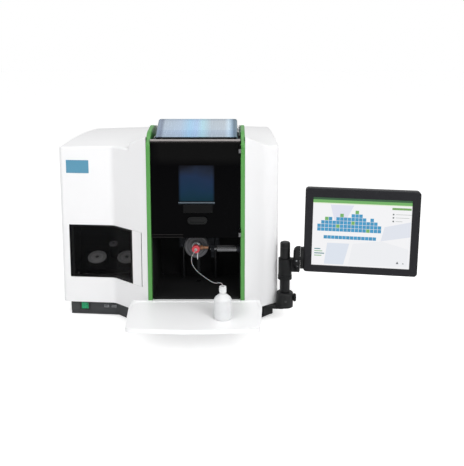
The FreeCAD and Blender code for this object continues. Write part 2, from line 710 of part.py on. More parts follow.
def hinge_leaf(x0, x1, back, z0, z1):
    """Leaf that lies on a face at y = back and rolls round the hinge line."""
    leaf = block(x0, x1, back - 2.0, back, z0, z1)
    knuckle = rod("z", (DOOR_HINGE_X, DOOR_HINGE_Y), KNUCKLE_RADIUS, z0, z1)
    web_x0 = DOOR_HINGE_X - (KNUCKLE_RADIUS if x0 < DOOR_HINGE_X - 1 else 0)
    web_x1 = web_x0 + KNUCKLE_RADIUS
    web = block(web_x0, web_x1, DOOR_HINGE_Y, back, z0, z1)
    return leaf.fuse(knuckle).fuse(web)


def door_hinge_brackets():
    """Leaves on the right trim, each with the pin that the door's knuckle turns on."""
    line = (DOOR_HINGE_X, DOOR_HINGE_Y)
    brackets = []
    for z in HINGE_PLACES:
        leaf = hinge_leaf(DOOR_HINGE_X, DOOR_HINGE_X + 12, 0, z - HINGE_HALF, z - 0.2)
        pin = rod("z", line, HINGE_PIN_RADIUS, z - 1, z + HINGE_HALF)
        brackets.append(leaf.fuse(pin).removeSplitter())
    return Part.makeCompound(brackets)


def door_window():
    lap = 4.0
    y0 = DOOR_FACE_Y + DOOR_SKIN
    return block(WINDOW_LEFT - lap, WINDOW_RIGHT + lap, y0, y0 + WINDOW_GLASS,
                 WINDOW_BOTTOM - lap, WINDOW_TOP + lap)


def door_latch_block():
    """Wedge-shaped catch housing under the window."""
    low, high = LATCH_Z
    return side_prism([(DOOR_FACE_Y, low), (DOOR_FACE_Y, high), (-3.0, high - 2), (-4.5, low + 2)],
                      [0, 0, 1.5, 1.5], *LATCH_X)


def door_finger_pull():
    """Dished oval pull."""
    x0, x1 = PULL_X - PULL_WIDTH / 2, PULL_X + PULL_WIDTH / 2
    z0, z1 = PULL_Z - PULL_HEIGHT / 2, PULL_Z + PULL_HEIGHT / 2
    points = [(x0, z0), (x1, z0), (x1, z1), (x0, z1)]
    pull = front_prism(points, [PULL_HEIGHT / 2 - 0.1] * 4, -5.0, DOOR_FACE_Y)
    pull = pull.makeFillet(1.5, [edge for edge in pull.Edges if edge.BoundBox.YMax < -4.9])
    dish = front_prism(inset_outline(points, [4.0] * 4), [PULL_HEIGHT / 2 - 4.1] * 4, -6.0, -2.0)
    return pull.cut(dish)


def door_top_strip():
    half = BAY_HALF - DOOR_GAP
    return side_prism([(DOOR_FACE_Y, DOOR_TOP - 6), (DOOR_FACE_Y, DOOR_TOP), (-1.0, DOOR_TOP),
                       (-1.6, DOOR_TOP - 3), (-1.0, DOOR_TOP - 6)], [0, 0, 0.5, 0, 0.5], -half, half)


def burner_head():
    """Slotted titanium head on a tapered base."""
    low = front_prism([(CHAMBER_X - NECK_RADIUS - 3, HEAD_BOTTOM), (CHAMBER_X + NECK_RADIUS + 3, HEAD_BOTTOM),
                       (CHAMBER_X + HEAD_LENGTH / 2, HEAD_BOTTOM + 16),
                       (CHAMBER_X - HEAD_LENGTH / 2, HEAD_BOTTOM + 16)], [0] * 4,
                      BEAM_Y - HEAD_WIDTH / 2 + 3, BEAM_Y + HEAD_WIDTH / 2 - 3)
    top = side_prism([(BEAM_Y - HEAD_WIDTH / 2, HEAD_BOTTOM + 15), (BEAM_Y + HEAD_WIDTH / 2, HEAD_BOTTOM + 15),
                      (BEAM_Y + HEAD_WIDTH / 2, HEAD_TOP - 9), (BEAM_Y + 6, HEAD_TOP),
                      (BEAM_Y - 6, HEAD_TOP), (BEAM_Y - HEAD_WIDTH / 2, HEAD_TOP - 9)], [0] * 6,
                     CHAMBER_X - HEAD_LENGTH / 2, CHAMBER_X + HEAD_LENGTH / 2)
    slot = block(CHAMBER_X - SLOT_LENGTH / 2, CHAMBER_X + SLOT_LENGTH / 2, BEAM_Y - SLOT_WIDTH / 2,
                 BEAM_Y + SLOT_WIDTH / 2, HEAD_TOP - 12, HEAD_TOP + 1)
    grooves = [block(x, x + 2, BEAM_Y - HEAD_WIDTH, BEAM_Y + HEAD_WIDTH, HEAD_BOTTOM + 18, HEAD_BOTTOM + 24)
               .cut(block(x - 1, x + 3, BEAM_Y - HEAD_WIDTH / 2 + 2, BEAM_Y + HEAD_WIDTH / 2 - 2, 300, 500))
               for x in range(-50, 48, 8)]
    return fuse(low, top).cut(slot).cut(Part.makeCompound(grooves))


def spray_chamber():
    """Lying mixing chamber with the upright neck that carries the burner head."""
    barrel = rod("y", (CHAMBER_X, CHAMBER_Z), CHAMBER_RADIUS, CHAMBER_FRONT, CHAMBER_BACK)
    neck = rod("z", (CHAMBER_X, BEAM_Y), NECK_RADIUS, CHAMBER_Z, HEAD_BOTTOM)
    collar = rod("z", (CHAMBER_X, BEAM_Y), NECK_RADIUS + 4, HEAD_BOTTOM - 30, HEAD_BOTTOM - 16)
    ring = rod("y", (CHAMBER_X, CHAMBER_Z), CHAMBER_RADIUS + 4, CHAMBER_FRONT, CHAMBER_FRONT + 6)
    return fuse(barrel, neck, collar, ring)


def chamber_end_cap():
    """Front cap with a chamfered rim and a stepped middle that holds the nebulizer."""
    cap = turned([(0, 0), (CAP_RADIUS, 0), (CAP_RADIUS, CAP_DEPTH - 3), (CAP_RADIUS - 3, CAP_DEPTH),
                  (CAP_RADIUS - 9, CAP_DEPTH), (CAP_RADIUS - 11, CAP_DEPTH - 2), (18, CAP_DEPTH - 2),
                  (16, CAP_DEPTH), (0, CAP_DEPTH)])
    cap.rotate(Vector(0, 0, 0), Vector(1, 0, 0), 90)
    return moved(cap, CHAMBER_X, CHAMBER_FRONT, CHAMBER_Z)


def nebulizer_body():
    """Barrel in the cap, with the thin spigot that the knob turns on."""
    back = CHAMBER_FRONT - CAP_DEPTH
    body = turned([(0, 0), (NEBULIZER_RADIUS + 3, 0), (NEBULIZER_RADIUS + 3, 4), (NEBULIZER_RADIUS, 5),
                   (NEBULIZER_RADIUS, 18), (NEBULIZER_RADIUS - 2, 20), (SPIGOT_RADIUS, 20),
                   (SPIGOT_RADIUS, back - SPIGOT_END), (0, back - SPIGOT_END)])
    body.rotate(Vector(0, 0, 0), Vector(1, 0, 0), 90)
    return moved(body, CHAMBER_X, back, CHAMBER_Z)


def nebulizer_knob():
    """Red fluted knob that sets the uptake."""
    back = CHAMBER_FRONT - CAP_DEPTH - 20.3
    knob = rod("y", (CHAMBER_X, CHAMBER_Z), NEB_KNOB_RADIUS, back - NEB_KNOB_LENGTH, back)
    knob = knob.makeFillet(1.8, [edge for edge in knob.Edges if edge.BoundBox.YMax < back - 1
                                 and edge.BoundBox.YLength < 0.1])
    flutes = []
    for i in range(12):
        angle = i * math.pi / 6
        x = CHAMBER_X + (NEB_KNOB_RADIUS + 1.2) * math.cos(angle)
        z = CHAMBER_Z + (NEB_KNOB_RADIUS + 1.2) * math.sin(angle)
        flutes.append(rod("y", (x, z), 2.0, back - NEB_KNOB_LENGTH - 1, back - 3))
    bore = rod("y", (CHAMBER_X, CHAMBER_Z), SPIGOT_RADIUS + PIN_CLEARANCE, 0, 60)
    return knob.cut(Part.makeCompound(flutes)).cut(bore)


def oxidant_fitting():
    """Brass union and barb on the nebulizer's right side."""
    start = CHAMBER_X + NEBULIZER_RADIUS
    union = turned([(0, 0), (4.5, 0), (4.5, 3), (7, 3), (7, 10), (4, 11), (4, 14), (5, 15), (3.6, 19),
                    (5, 20), (3.6, 26), (0, 26)])
    union.rotate(Vector(0, 0, 0), Vector(0, 1, 0), 90)
    return moved(union, start, CHAMBER_FRONT - CAP_DEPTH - 11, CHAMBER_Z).cut(
        rod("y", (CHAMBER_X, CHAMBER_Z), NEBULIZER_RADIUS, 30, 60))


def drain_elbow():
    """Drain spout under the chamber, ending above the hole in the floor."""
    y = CHAMBER_BACK - 22
    spout = turned([(4, 0), (6, 0), (6, 60), (9, 64), (9, CHAMBER_Z - DRAIN_END), (4, CHAMBER_Z - DRAIN_END)])
    spout = moved(spout, CHAMBER_X, y, DRAIN_END)
    return spout.cut(rod("y", (CHAMBER_X, CHAMBER_Z), CHAMBER_RADIUS, CHAMBER_FRONT, CHAMBER_BACK))


def burner_carriage():
    """Back plate on two sleeves, with the arm and rack that the height knob drives."""
    plate = block(-ROD_SPACING / 2 - 12, ROD_SPACING / 2 + 12, CHAMBER_BACK, CHAMBER_BACK + 7,
                  CHAMBER_Z - 42, CHAMBER_Z + 42)
    sleeves = [rod("z", (side * ROD_SPACING / 2, ROD_Y), ROD_RADIUS + 5, CHAMBER_Z - 42, CHAMBER_Z + 42)
               for side in (-1, 1)]
    pitch_y = DRIVE_Y + GEAR_TEETH * GEAR_MODULE / 2
    root_y = pitch_y + 1.25 * GEAR_MODULE
    x0, x1 = DRIVE_GEAR_X - GEAR_WIDTH / 2, DRIVE_GEAR_X + GEAR_WIDTH / 2
    arm = block(x0, x1, root_y, CHAMBER_BACK + 2, DRIVE_Z - 14, DRIVE_Z + 14)
    reach = TRAVEL_UP + 22
    rack = block(x0, x1, root_y, root_y + 7, DRIVE_Z - reach, DRIVE_Z + reach)
    carriage = fuse(plate, arm, rack, *sleeves)
    bores = [rod("z", (side * ROD_SPACING / 2, ROD_Y), ROD_RADIUS + PIN_CLEARANCE, 150, 350)
             for side in (-1, 1)]
    return fuse(carriage.cut(Part.makeCompound(bores)), *rack_teeth(pitch_y, root_y, x0, x1))


def rack_teeth(pitch_y, root_y, x0, x1):
    """Straight-sided teeth; a gap of the rack faces the pinion's nearest tooth."""
    pitch = math.pi * GEAR_MODULE
    tan20 = math.tan(math.radians(20))
    tip_y = pitch_y - 0.9 * GEAR_MODULE
    half = (pitch / 2 - BACKLASH) / 2
    tip = half - (pitch_y - tip_y) * tan20
    root = half + (root_y + 0.5 - pitch_y) * tan20
    teeth = []
    for i in range(-9, 9):
        z = DRIVE_Z + (i + 0.5) * pitch
        points = [(root_y + 0.5, z - root), (root_y + 0.5, z + root), (tip_y, z + tip), (tip_y, z - tip)]
        teeth.append(side_prism(points, [0] * 4, x0, x1))
    return teeth


def guide_rods():
    """Two upright rods and the bridge that ties their tops to the back wall."""
    top = HEAD_BOTTOM - 24
    rods = [rod("z", (side * ROD_SPACING / 2, ROD_Y), ROD_RADIUS, BAY_FLOOR_Z + BAY_FLOOR_WALL, top)
            for side in (-1, 1)]
    bridge = block(-ROD_SPACING / 2 - 12, ROD_SPACING / 2 + 12, ROD_Y - 9, BAY_BACK - LINER_WALL,
                   top - 1, top + 7)
    return fuse(bridge, *rods)


def height_knob():
    """Long polished knob on the cross shaft; its right end turns in a flange."""
    end = BAY_HALF - LINER_WALL
    knob = turned([(0, DRIVE_GEAR_X - GEAR_WIDTH / 2 - 2), (SHAFT_RADIUS, DRIVE_GEAR_X - GEAR_WIDTH / 2 - 2),
                   (SHAFT_RADIUS, KNOB_START), (HEIGHT_KNOB_RADIUS - 1.5, KNOB_START),
                   (HEIGHT_KNOB_RADIUS, KNOB_START + 1.5), (HEIGHT_KNOB_RADIUS, end - FLANGE_WIDTH - 1.5),
                   (HEIGHT_KNOB_RADIUS - 1, end - FLANGE_WIDTH - 0.5), (JOURNAL_RADIUS, end - FLANGE_WIDTH - 0.5),
                   (JOURNAL_RADIUS, end - 0.3), (0, end - 0.3)])
    knob.rotate(Vector(0, 0, 0), Vector(0, 1, 0), 90)
    return moved(knob, 0, DRIVE_Y, DRIVE_Z)


def height_pinion():
    """Sixteen involute teeth; one tooth points straight at the rack."""
    count = GEAR_TEETH
    pitch_r = count * GEAR_MODULE / 2
    base_r = pitch_r * math.cos(math.radians(20))
    outer_r = pitch_r + 0.95 * GEAR_MODULE
    root_r = pitch_r - 1.25 * GEAR_MODULE
    inv20 = math.tan(math.radians(20)) - math.radians(20)
    half_pitch = math.pi / (2 * count) - BACKLASH / (2 * pitch_r)

    def half_angle(radius):
        if radius <= base_r:
            return half_pitch + inv20
        pressure = math.acos(base_r / radius)
        return half_pitch + inv20 - (math.tan(pressure) - pressure)

    radii = [root_r, base_r, (base_r + pitch_r) / 2, pitch_r, (pitch_r + outer_r) / 2, outer_r]
    points = []
    for i in range(count):
        middle = 2 * math.pi * i / count
        flank = [(r, middle - half_angle(r)) for r in radii]
        flank += [(r, middle + half_angle(r)) for r in reversed(radii)]
        points += [Vector(0, r * math.cos(a), r * math.sin(a)) for r, a in flank]
    wheel = Part.Face(Part.makePolygon(points + [points[0]])).extrude(Vector(GEAR_WIDTH, 0, 0))
    bore = rod("x", (0, 0), SHAFT_RADIUS + 0.02, -1, GEAR_WIDTH + 1)
    return moved(wheel.cut(bore), DRIVE_GEAR_X - GEAR_WIDTH / 2, DRIVE_Y, DRIVE_Z)


def knob_bearing():
    """Flange on the right wall that the knob's journal turns in."""
    end = BAY_HALF - LINER_WALL
    flange = turned([(JOURNAL_RADIUS + PIN_CLEARANCE, 0), (13.5, 0), (13.5, 3), (11.5, 4), (11.5, FLANGE_WIDTH),
                     (JOURNAL_RADIUS + PIN_CLEARANCE, FLANGE_WIDTH)])
    flange.rotate(Vector(0, 0, 0), Vector(0, 1, 0), -90)
    return moved(flange, end, DRIVE_Y, DRIVE_Z)


def igniter_arm():
    """Bent tube from a bracket on the right wall to beside the flame."""
    wall = BAY_HALF - LINER_WALL
    y = BEAM_Y + 33
    bracket = block(wall - 5, wall, y - 12, y + 12, HEAD_BOTTOM - 30, HEAD_BOTTOM - 2)
    upright = rod("z", (wall - 11, y), 4, HEAD_BOTTOM - 26, HEAD_TOP + 6)
    shelf = block(wall - 16.5, wall - 4, y - 5, y + 5, HEAD_BOTTOM - 22, HEAD_BOTTOM - 10)
    arm = rod("x", (y, HEAD_TOP + 6), 4, CHAMBER_X + 42, wall - 11)
    tip = rod("y", (CHAMBER_X + 42, HEAD_TOP + 6), 3, BEAM_Y + 17.5, y)
    elbows = [Part.makeSphere(5.5, Vector(x, y, HEAD_TOP + 6)) for x in (wall - 11, CHAMBER_X + 42)]
    return fuse(bracket, upright, shelf, arm, tip, *elbows)


def lamp_bay_liner():
    """Dark box behind the lamp door; its floor is open where the lamps pass down."""
    low, high = LAMP_BAY_BOTTOM - LAMP_BAY_MARGIN, LAMP_BAY_TOP + LAMP_BAY_MARGIN
    left, right = LAMP_BAY_LEFT - 9, LAMP_BAY_RIGHT + 9
    wall = LINER_WALL
    side = COVER_WALL + 0.3
    inside = plan_prism(left_plan(side, 0, 0), left_radii(side), low, high)
    outer = inside.common(block(left, right, 0, LAMP_BAY_BACK, low, high))
    hollow = block(left + wall, right - wall, 0, LAMP_BAY_BACK - wall, low + wall, high - wall)
    hatch = block(CRADLE_LEFT - 5, CRADLE_RIGHT + 5, LAMP_Y - 28, LAMP_Y + 90, low - 1, low + wall + 1)
    return outer.cut(hollow).cut(hatch)


def in_lamp_frame(shape, x):
    """Lamps are drawn upright, top at the origin, and lean towards the front."""
    copy = shape.copy()
    copy.rotate(Vector(0, 0, 0), Vector(1, 0, 0), 90 - LAMP_TILT)
    copy.translate(Vector(x, LAMP_Y, LAMP_Z))
    return copy


def lamp_cradle():
    """Sloping plate with a seat for each lamp, on two side legs."""
    under = -LAMP_CAP_LENGTH - CRADLE_WALL
    plate = block(CRADLE_LEFT, CRADLE_RIGHT, -34, 60, under, -LAMP_CAP_LENGTH)
    holes = [rod("z", (x, 0), LAMP_GLASS_RADIUS + 0.6, under - 5, 5) for x in (LAMP_LEFT_X, LAMP_RIGHT_X)]
    holes.append(rod("z", (SMALL_LAMP_X, SMALL_LAMP_BACK), SMALL_GLASS_RADIUS + 0.6, under - 5, 5))
    plate = in_lamp_frame(plate.cut(Part.makeCompound(holes)), 0)
    floor = FOOT_HEIGHT + PAN_FLOOR
    leg = [(LAMP_Y - 6, floor), (LAMP_Y + 62, floor), (LAMP_Y + 62, 148), (LAMP_Y - 6, 124)]
    legs = [side_prism(leg, [0] * 4, x, x + 4) for x in (CRADLE_LEFT, CRADLE_RIGHT - 4)]
    return fuse(plate, *legs)


def hollow_cathode_lamp(x):
    """Ribbed socket cap over a glass envelope with a domed end."""
    glass = LAMP_GLASS_RADIUS
    profile = [(0, 0), (LAMP_CAP_RADIUS - 4, 0), (LAMP_CAP_RADIUS - 1, -1.5), (LAMP_CAP_RADIUS, -5),
               (LAMP_CAP_RADIUS, -LAMP_CAP_LENGTH), (glass, -LAMP_CAP_LENGTH), (glass, -LAMP_LENGTH + 4),
               (glass - 4, -LAMP_LENGTH), (0, -LAMP_LENGTH)]
    lamp = turned([(r, z) for r, z in reversed(profile)])
    dish = turned([(0, 1), (0, -2), (LAMP_CAP_RADIUS - 9, -2), (LAMP_CAP_RADIUS - 8, 1)])
    return in_lamp_frame(lamp.cut(dish), x)


def small_lamp():
    """Slim background lamp between and behind the two large ones."""
    profile = [(0, SMALL_LAMP_TOP), (SMALL_CAP_RADIUS - 1.5, SMALL_LAMP_TOP),
               (SMALL_CAP_RADIUS, SMALL_LAMP_TOP - 1.5), (SMALL_CAP_RADIUS, -LAMP_CAP_LENGTH),
               (SMALL_GLASS_RADIUS, -LAMP_CAP_LENGTH), (SMALL_GLASS_RADIUS, -95), (0, -95)]
    lamp = turned(list(reversed(profile)))
    return in_lamp_frame(moved(lamp, 0, SMALL_LAMP_BACK, 0), SMALL_LAMP_X)


def lamp_door_layer(x0, x1, front, back):
    """A stretch of the lamp door between two depths behind the cover's outer face."""
    gap = LAMP_DOOR_GAP
    low, high = LAMP_BAY_BOTTOM + gap, LAMP_BAY_TOP - gap
    shell = plan_prism(left_plan(front, 0, 0), [0, 0, 0, 14 - front, 30 - front], low, high)
    shell = shell.cut(plan_prism(left_plan(back, -30, -30), [0, 0, 0, 14 - back, 30 - back], low - 1, high + 1))
    shell = shell.common(block(x0, x1, 0, WING_FRONT_LEFT + 20, low, high))
    axis_x, axis_y = lamp_door_axis()
    corner = block(axis_x - 10, axis_x, axis_y - 20, axis_y + 20, low - 1, high + 1)
    corner = corner.cut(rod("z", (axis_x, axis_y), LAMP_DOOR_PANE, low - 2, high + 2))
    bore = rod("z", (axis_x, axis_y), HINGE_PIN_RADIUS + PIN_CLEARANCE, low - 1, low + 11)
    return shell.cut(corner).cut(bore).cut(moved(bore, 0, 0, high - low - 10))


def lamp_door_window():
    return lamp_door_layer(LAMP_BAY_LEFT + LAMP_DOOR_GAP, LAMP_STRIP_X - 0.15, 0, LAMP_DOOR_PANE)


def lamp_door_frame():
    """White end strip, and the thin rails and stile that carry the pane from behind."""
    gap = LAMP_DOOR_GAP
    right = LAMP_BAY_RIGHT - LAMP_DOOR_SLIT
    strip = lamp_door_layer(LAMP_STRIP_X + 0.15, right, 0, LAMP_DOOR_PANE)
    back = LAMP_DOOR_PANE + LAMP_DOOR_RAIL
    frame = lamp_door_layer(LAMP_BAY_LEFT + gap, right, LAMP_DOOR_PANE, back)
    middle = block(LAMP_BAY_LEFT + 13, LAMP_STRIP_X - 7, 0, WING_FRONT_LEFT + 30,
                   LAMP_BAY_BOTTOM + 8, LAMP_BAY_TOP - 8)
    return strip.fuse(frame.cut(middle)).removeSplitter()


def lamp_door_pins():
    x, y = lamp_door_axis()
    gap = LAMP_DOOR_GAP
    low = rod("z", (x, y), HINGE_PIN_RADIUS, LAMP_BAY_BOTTOM - 7.8, LAMP_BAY_BOTTOM + gap + 10)
    high = rod("z", (x, y), HINGE_PIN_RADIUS, LAMP_BAY_TOP - gap - 10, LAMP_BAY_TOP + 7.8)
    return Part.makeCompound([low, high])


def sample_bottle():
    r, wall = BOTTLE_RADIUS, BOTTLE_WALL
    neck_top = BOTTLE_NECK_Z + CAP_HEIGHT - 2
    body = turned([(0, 0), (r - 2, 0), (r, 2), (r, BOTTLE_SHOULDER), (r - 3, BOTTLE_SHOULDER + 5),
                   (NECK_OUTER, BOTTLE_NECK_Z - 2), (NECK_OUTER, neck_top), (NECK_OUTER - wall, neck_top),
                   (NECK_OUTER - wall, BOTTLE_NECK_Z - 3), (r - 3 - wall, BOTTLE_SHOULDER + 4),
                   (r - wall, BOTTLE_SHOULDER), (r - wall, 3), (r - wall - 2, wall), (0, wall)])
    return moved(body, BOTTLE_X, BOTTLE_Y, TRAY_TOP)


def bottle_cap():
    cap = turned([(TUBE_HOLE_RADIUS, CAP_HEIGHT - 2), (NECK_OUTER + 0.2, CAP_HEIGHT - 2), (NECK_OUTER + 0.2, 0),
                  (CAP_OUTER, 0), (CAP_OUTER, CAP_HEIGHT - 1), (CAP_OUTER - 1, CAP_HEIGHT),
                  (TUBE_HOLE_RADIUS, CAP_HEIGHT)])
    return moved(cap, BOTTLE_X, BOTTLE_Y, TRAY_TOP + BOTTLE_NECK_Z)


def tube_radii():
    """Bend radius at each inner point of the sample tube's route."""
    points = [Vector(*point) for point in TUBE_ROUTE]
    radii = []
    for i in range(1, len(points) - 1):
        before, after = points[i] - points[i - 1], points[i + 1] - points[i]
        turn = before.getAngle(after)
        radii.append(0.45 * min(before.Length, after.Length) / math.tan(turn / 2))
    return radii


def sample_tube():
    """Thin tube from the nebulizer into the bottle: straight runs joined by tangent arcs."""
    points = [Vector(*point) for point in TUBE_ROUTE]
    edges, last = [], points[0]
    for i, radius in enumerate(tube_radii(), start=1):
        before, after = points[i - 1] - points[i], points[i + 1] - points[i]
        before.normalize()
        after.normalize()
        half = before.getAngle(after) / 2
        reach = radius / math.tan(half)
        bisector = (before + after).normalize()
        middle = points[i] + bisector * (radius / math.sin(half) - radius)
        start, end = points[i] + before * reach, points[i] + after * reach
        edges.append(Part.LineSegment(last, start).toShape())
        edges.append(Part.Arc(start, middle, end).toShape())
        last = end
    edges.append(Part.LineSegment(last, points[-1]).toShape())
    path = Part.Wire(edges)
    profile = Part.Wire(Part.makeCircle(TUBE_RADIUS, points[0], points[1] - points[0]))
    tube = path.makePipeShell([profile], True, False)
    expected = math.pi * TUBE_RADIUS ** 2 * path.Length
    print("tube length %.1f, volume %.1f of %.1f" % (path.Length, tube.Volume, expected))
    print("tube radii", " ".join("%.1f" % radius for radius in tube_radii()))
    return tube


def switch_panel_cuts():
    """Holes in the plinth's wall for the switch and the two ports."""
    switch = block(-SWITCH_BODY_X - 0.2, SWITCH_BODY_X + 0.2, -5, 10, -SWITCH_BODY_Z - 0.2, SWITCH_BODY_Z + 0.2)
    cuts = [on_wing(switch, ROCKER_X, PORT_Z, PLINTH_RECESS)]
    port = block(-PORT_HALF_X - 0.2, PORT_HALF_X + 0.2, -5, 10, -PORT_HALF_Z - 0.2, PORT_HALF_Z + 0.2)
    cuts += [on_wing(port, x, PORT_Z, PLINTH_RECESS) for x in PORTS_X]
    return Part.makeCompound(cuts)


def switch_frame():
    """Bezel with the deep sleeve that holds the rocker's pivot."""
    flange = block(-SWITCH_BODY_X - 3, SWITCH_BODY_X + 3, -1.5, 0, -SWITCH_BODY_Z - 1, SWITCH_BODY_Z + 1)
    flange = flange.makeFillet(0.7, [edge for edge in flange.Edges if edge.BoundBox.YMax < -1.4])
    body = block(-SWITCH_BODY_X, SWITCH_BODY_X, -0.5, 16, -SWITCH_BODY_Z, SWITCH_BODY_Z)
    window = block(-ROCKER_WIDTH / 2 - 0.4, ROCKER_WIDTH / 2 + 0.4, -3, 14,
                   -SWITCH_BODY_Z + 1, SWITCH_BODY_Z - 1)
    pivot = rod("x", (ROCKER_PIVOT, 0), 2 + PIN_CLEARANCE, -ROCKER_WIDTH / 2 - 2, ROCKER_WIDTH / 2 + 2)
    return on_wing(fuse(flange, body).cut(window).cut(pivot), ROCKER_X, PORT_Z, PLINTH_RECESS)


def switch_rocker():
    half = ROCKER_HEIGHT / 2
    points = [(-2.6, -half), (8, -6), (8, 6), (-2.6, half), (-1.0, 0)]
    body = side_prism(points, [0.8, 2, 2, 0.8, 0], -ROCKER_WIDTH / 2, ROCKER_WIDTH / 2)
    pivot = rod("x", (ROCKER_PIVOT, 0), 2, -ROCKER_WIDTH / 2 - 1.7, ROCKER_WIDTH / 2 + 1.7)
    return on_wing(fuse(body, pivot), ROCKER_X, PORT_Z, PLINTH_RECESS)


def usb_ports():
    outer = block(-PORT_HALF_X, PORT_HALF_X, -0.6, 13, -PORT_HALF_Z, PORT_HALF_Z)
    inner = block(-PORT_HALF_X + 0.8, PORT_HALF_X - 0.8, -2, 12, -PORT_HALF_Z + 0.8, PORT_HALF_Z - 0.8)
    port = outer.cut(inner)
    return Part.makeCompound([on_wing(port, x, PORT_Z, PLINTH_RECESS) for x in PORTS_X])


def arm_bracket():
    """Foot of the screen arm: a pad on the plinth, a plate under the cover and a bored boss for the pole."""
    recess = PLINTH_RECESS - PIN_CLEARANCE
    wall_x = HOUSING_RIGHT - recess
    sweep = Vector(HOUSING_RIGHT - RIGHT_SWEEP_X, RIGHT_CORNER_Y - RIGHT_SWEEP_Y, 0).normalize()
    out = Vector(sweep.y, -sweep.x, 0)
    start = Vector(RIGHT_SWEEP_X, RIGHT_SWEEP_Y, 0) - out * recess + sweep * 5
    end = start + sweep * 39
    corners = [start, start + out * PAD_DEPTH, end + out * PAD_DEPTH, end]
    pad = plan_prism([(p.x, p.y) for p in corners], [0, 4, 4, 0], FOOT_HEIGHT + 1, PLINTH_TOP - 0.5)
    bend_y = start.y + (wall_x - start.x) * sweep.y / sweep.x
    points = [(corners[1].x, corners[1].y), (wall_x + 16, POLE_Y - 7), (POLE_X - 4, POLE_Y - 2),
              (POLE_X - 4, POLE_Y + 23), (wall_x, POLE_Y + 50), (wall_x, bend_y), (start.x, start.y)]
    plate = plan_prism(points, [3, 8, 3, 10, 0, 0, 0], PLINTH_TOP - 11, PLINTH_TOP - 0.5)
    neck = block(HOUSING_RIGHT + 2.5, POLE_X - 5, POLE_Y - 8, POLE_Y + 22, PLINTH_TOP - 11, BOSS_TOP - 30)
    boss = rod("z", (POLE_X, POLE_Y), BOSS_RADIUS, BOSS_BOTTOM, BOSS_TOP)
    boss = boss.makeFillet(4, [edge for edge in boss.Edges if edge.BoundBox.ZMin > BOSS_TOP - 0.1])
    bore = rod("z", (POLE_X, POLE_Y), POLE_RADIUS + PIN_CLEARANCE, POLE_BASE, BOSS_TOP + 1)
    return fuse(pad, plate, neck, boss).cut(bore)


def arm_pole():
    pole = rod("z", (POLE_X, POLE_Y), POLE_RADIUS, POLE_BASE, POLE_TOP)
    pole = pole.makeFillet(6, [edge for edge in pole.Edges if edge.BoundBox.ZMin > POLE_TOP - 0.1])
    groove = rod("z", (POLE_X, POLE_Y), POLE_RADIUS + 5, POLE_TOP - 16.6, POLE_TOP - 15)
    return pole.cut(groove.cut(rod("z", (POLE_X, POLE_Y), POLE_RADIUS - 0.8, 0, 300)))


def arm_clamp():
    """Split ring that holds the height, with its grip screw at the back."""
    ring = rod("z", (0, 0), COLLAR_RADIUS + 1, COLLAR_BOTTOM, COLLAR_BOTTOM + CLAMP_HEIGHT)
    lugs = block(-5, 5, COLLAR_RADIUS - 4, COLLAR_RADIUS + 12, COLLAR_BOTTOM, COLLAR_BOTTOM + CLAMP_HEIGHT)
    middle_z = COLLAR_BOTTOM + CLAMP_HEIGHT / 2
    grip = rod("x", (COLLAR_RADIUS + 6, middle_z), 5, 5, 16)
    slit = block(-0.8, 0.8, 0, COLLAR_RADIUS + 20, COLLAR_BOTTOM - 1, COLLAR_TOP)
    bore = rod("z", (0, 0), POLE_RADIUS + COLLAR_CLEARANCE, COLLAR_BOTTOM - 1, COLLAR_TOP)
    return moved(fuse(ring, lugs, grip).cut(bore).cut(slit), POLE_X, POLE_Y, 0)


def in_screen_frame(shape, sagging=True):
    """Screen pieces are drawn about the pole, facing -y, then sag a little and turn with the arm."""
    copy = shape.copy()
    if sagging:
        copy.rotate(Vector(TILT_FACE_U, TILT_Y, TILT_Z), Vector(0, 1, 0), SCREEN_SAG_DEG)
    copy.rotate(Vector(0, 0, 0), Vector(0, 0, 1), SCREEN_PAN_DEG)
    copy.translate(Vector(POLE_X, POLE_Y, 0))
    return copy


def arm_collar():
    """Turning sleeve on the pole, with the round cheek that the screen tilts against."""
    low = COLLAR_BOTTOM + CLAMP_HEIGHT + 0.3
    sleeve = rod("z", (0, 0), COLLAR_RADIUS, low, COLLAR_TOP)
    neck = block(8, TILT_FACE_U - 2, TILT_Y - 16, TILT_Y + 8, TILT_Z - TILT_RADIUS - 1, COLLAR_TOP - 2)
    bore = rod("z", (0, 0), POLE_RADIUS + COLLAR_CLEARANCE, low - 1, COLLAR_TOP + 1)
    fixed = in_screen_frame(fuse(sleeve, neck).cut(bore), False)
    cheek = rod("x", (TILT_Y, TILT_Z), TILT_RADIUS, TILT_FACE_U - CHEEK_WIDTH, TILT_FACE_U)
    cheek = cheek.makeFillet(16, [edge for edge in cheek.Edges if edge.BoundBox.XLength < 0.1
                                  and edge.BoundBox.XMax < TILT_FACE_U - 10])
    socket = rod("x", (TILT_Y, TILT_Z), TILT_PIN_RADIUS + PIN_CLEARANCE, TILT_FACE_U - 14, TILT_FACE_U + 1)
    return fixed.fuse(in_screen_frame(cheek)).cut(in_screen_frame(socket)).removeSplitter()


def tilt_hub():
    side = SCREEN_CENTRE_U - SCREEN_WIDTH / 2
    hub = rod("x", (TILT_Y, TILT_Z), TILT_RADIUS - 2, TILT_FACE_U + 0.3, side)
    hub = hub.cut(block(TILT_FACE_U, side + 1, -100, 100, 0, HUB_FLAT_Z))
    pin = rod("x", (TILT_Y, TILT_Z), TILT_PIN_RADIUS, TILT_FACE_U - 13.5, side)
    return in_screen_frame(fuse(hub, pin))


def screen_outline(grow):
    u0, u1 = SCREEN_CENTRE_U - SCREEN_WIDTH / 2 - grow, SCREEN_CENTRE_U + SCREEN_WIDTH / 2 + grow
    z0, z1 = SCREEN_CENTRE_Z - SCREEN_HEIGHT / 2 - grow, SCREEN_CENTRE_Z + SCREEN_HEIGHT / 2 + grow
    return [(u0, z0), (u1, z0), (u1, z1), (u0, z1)]


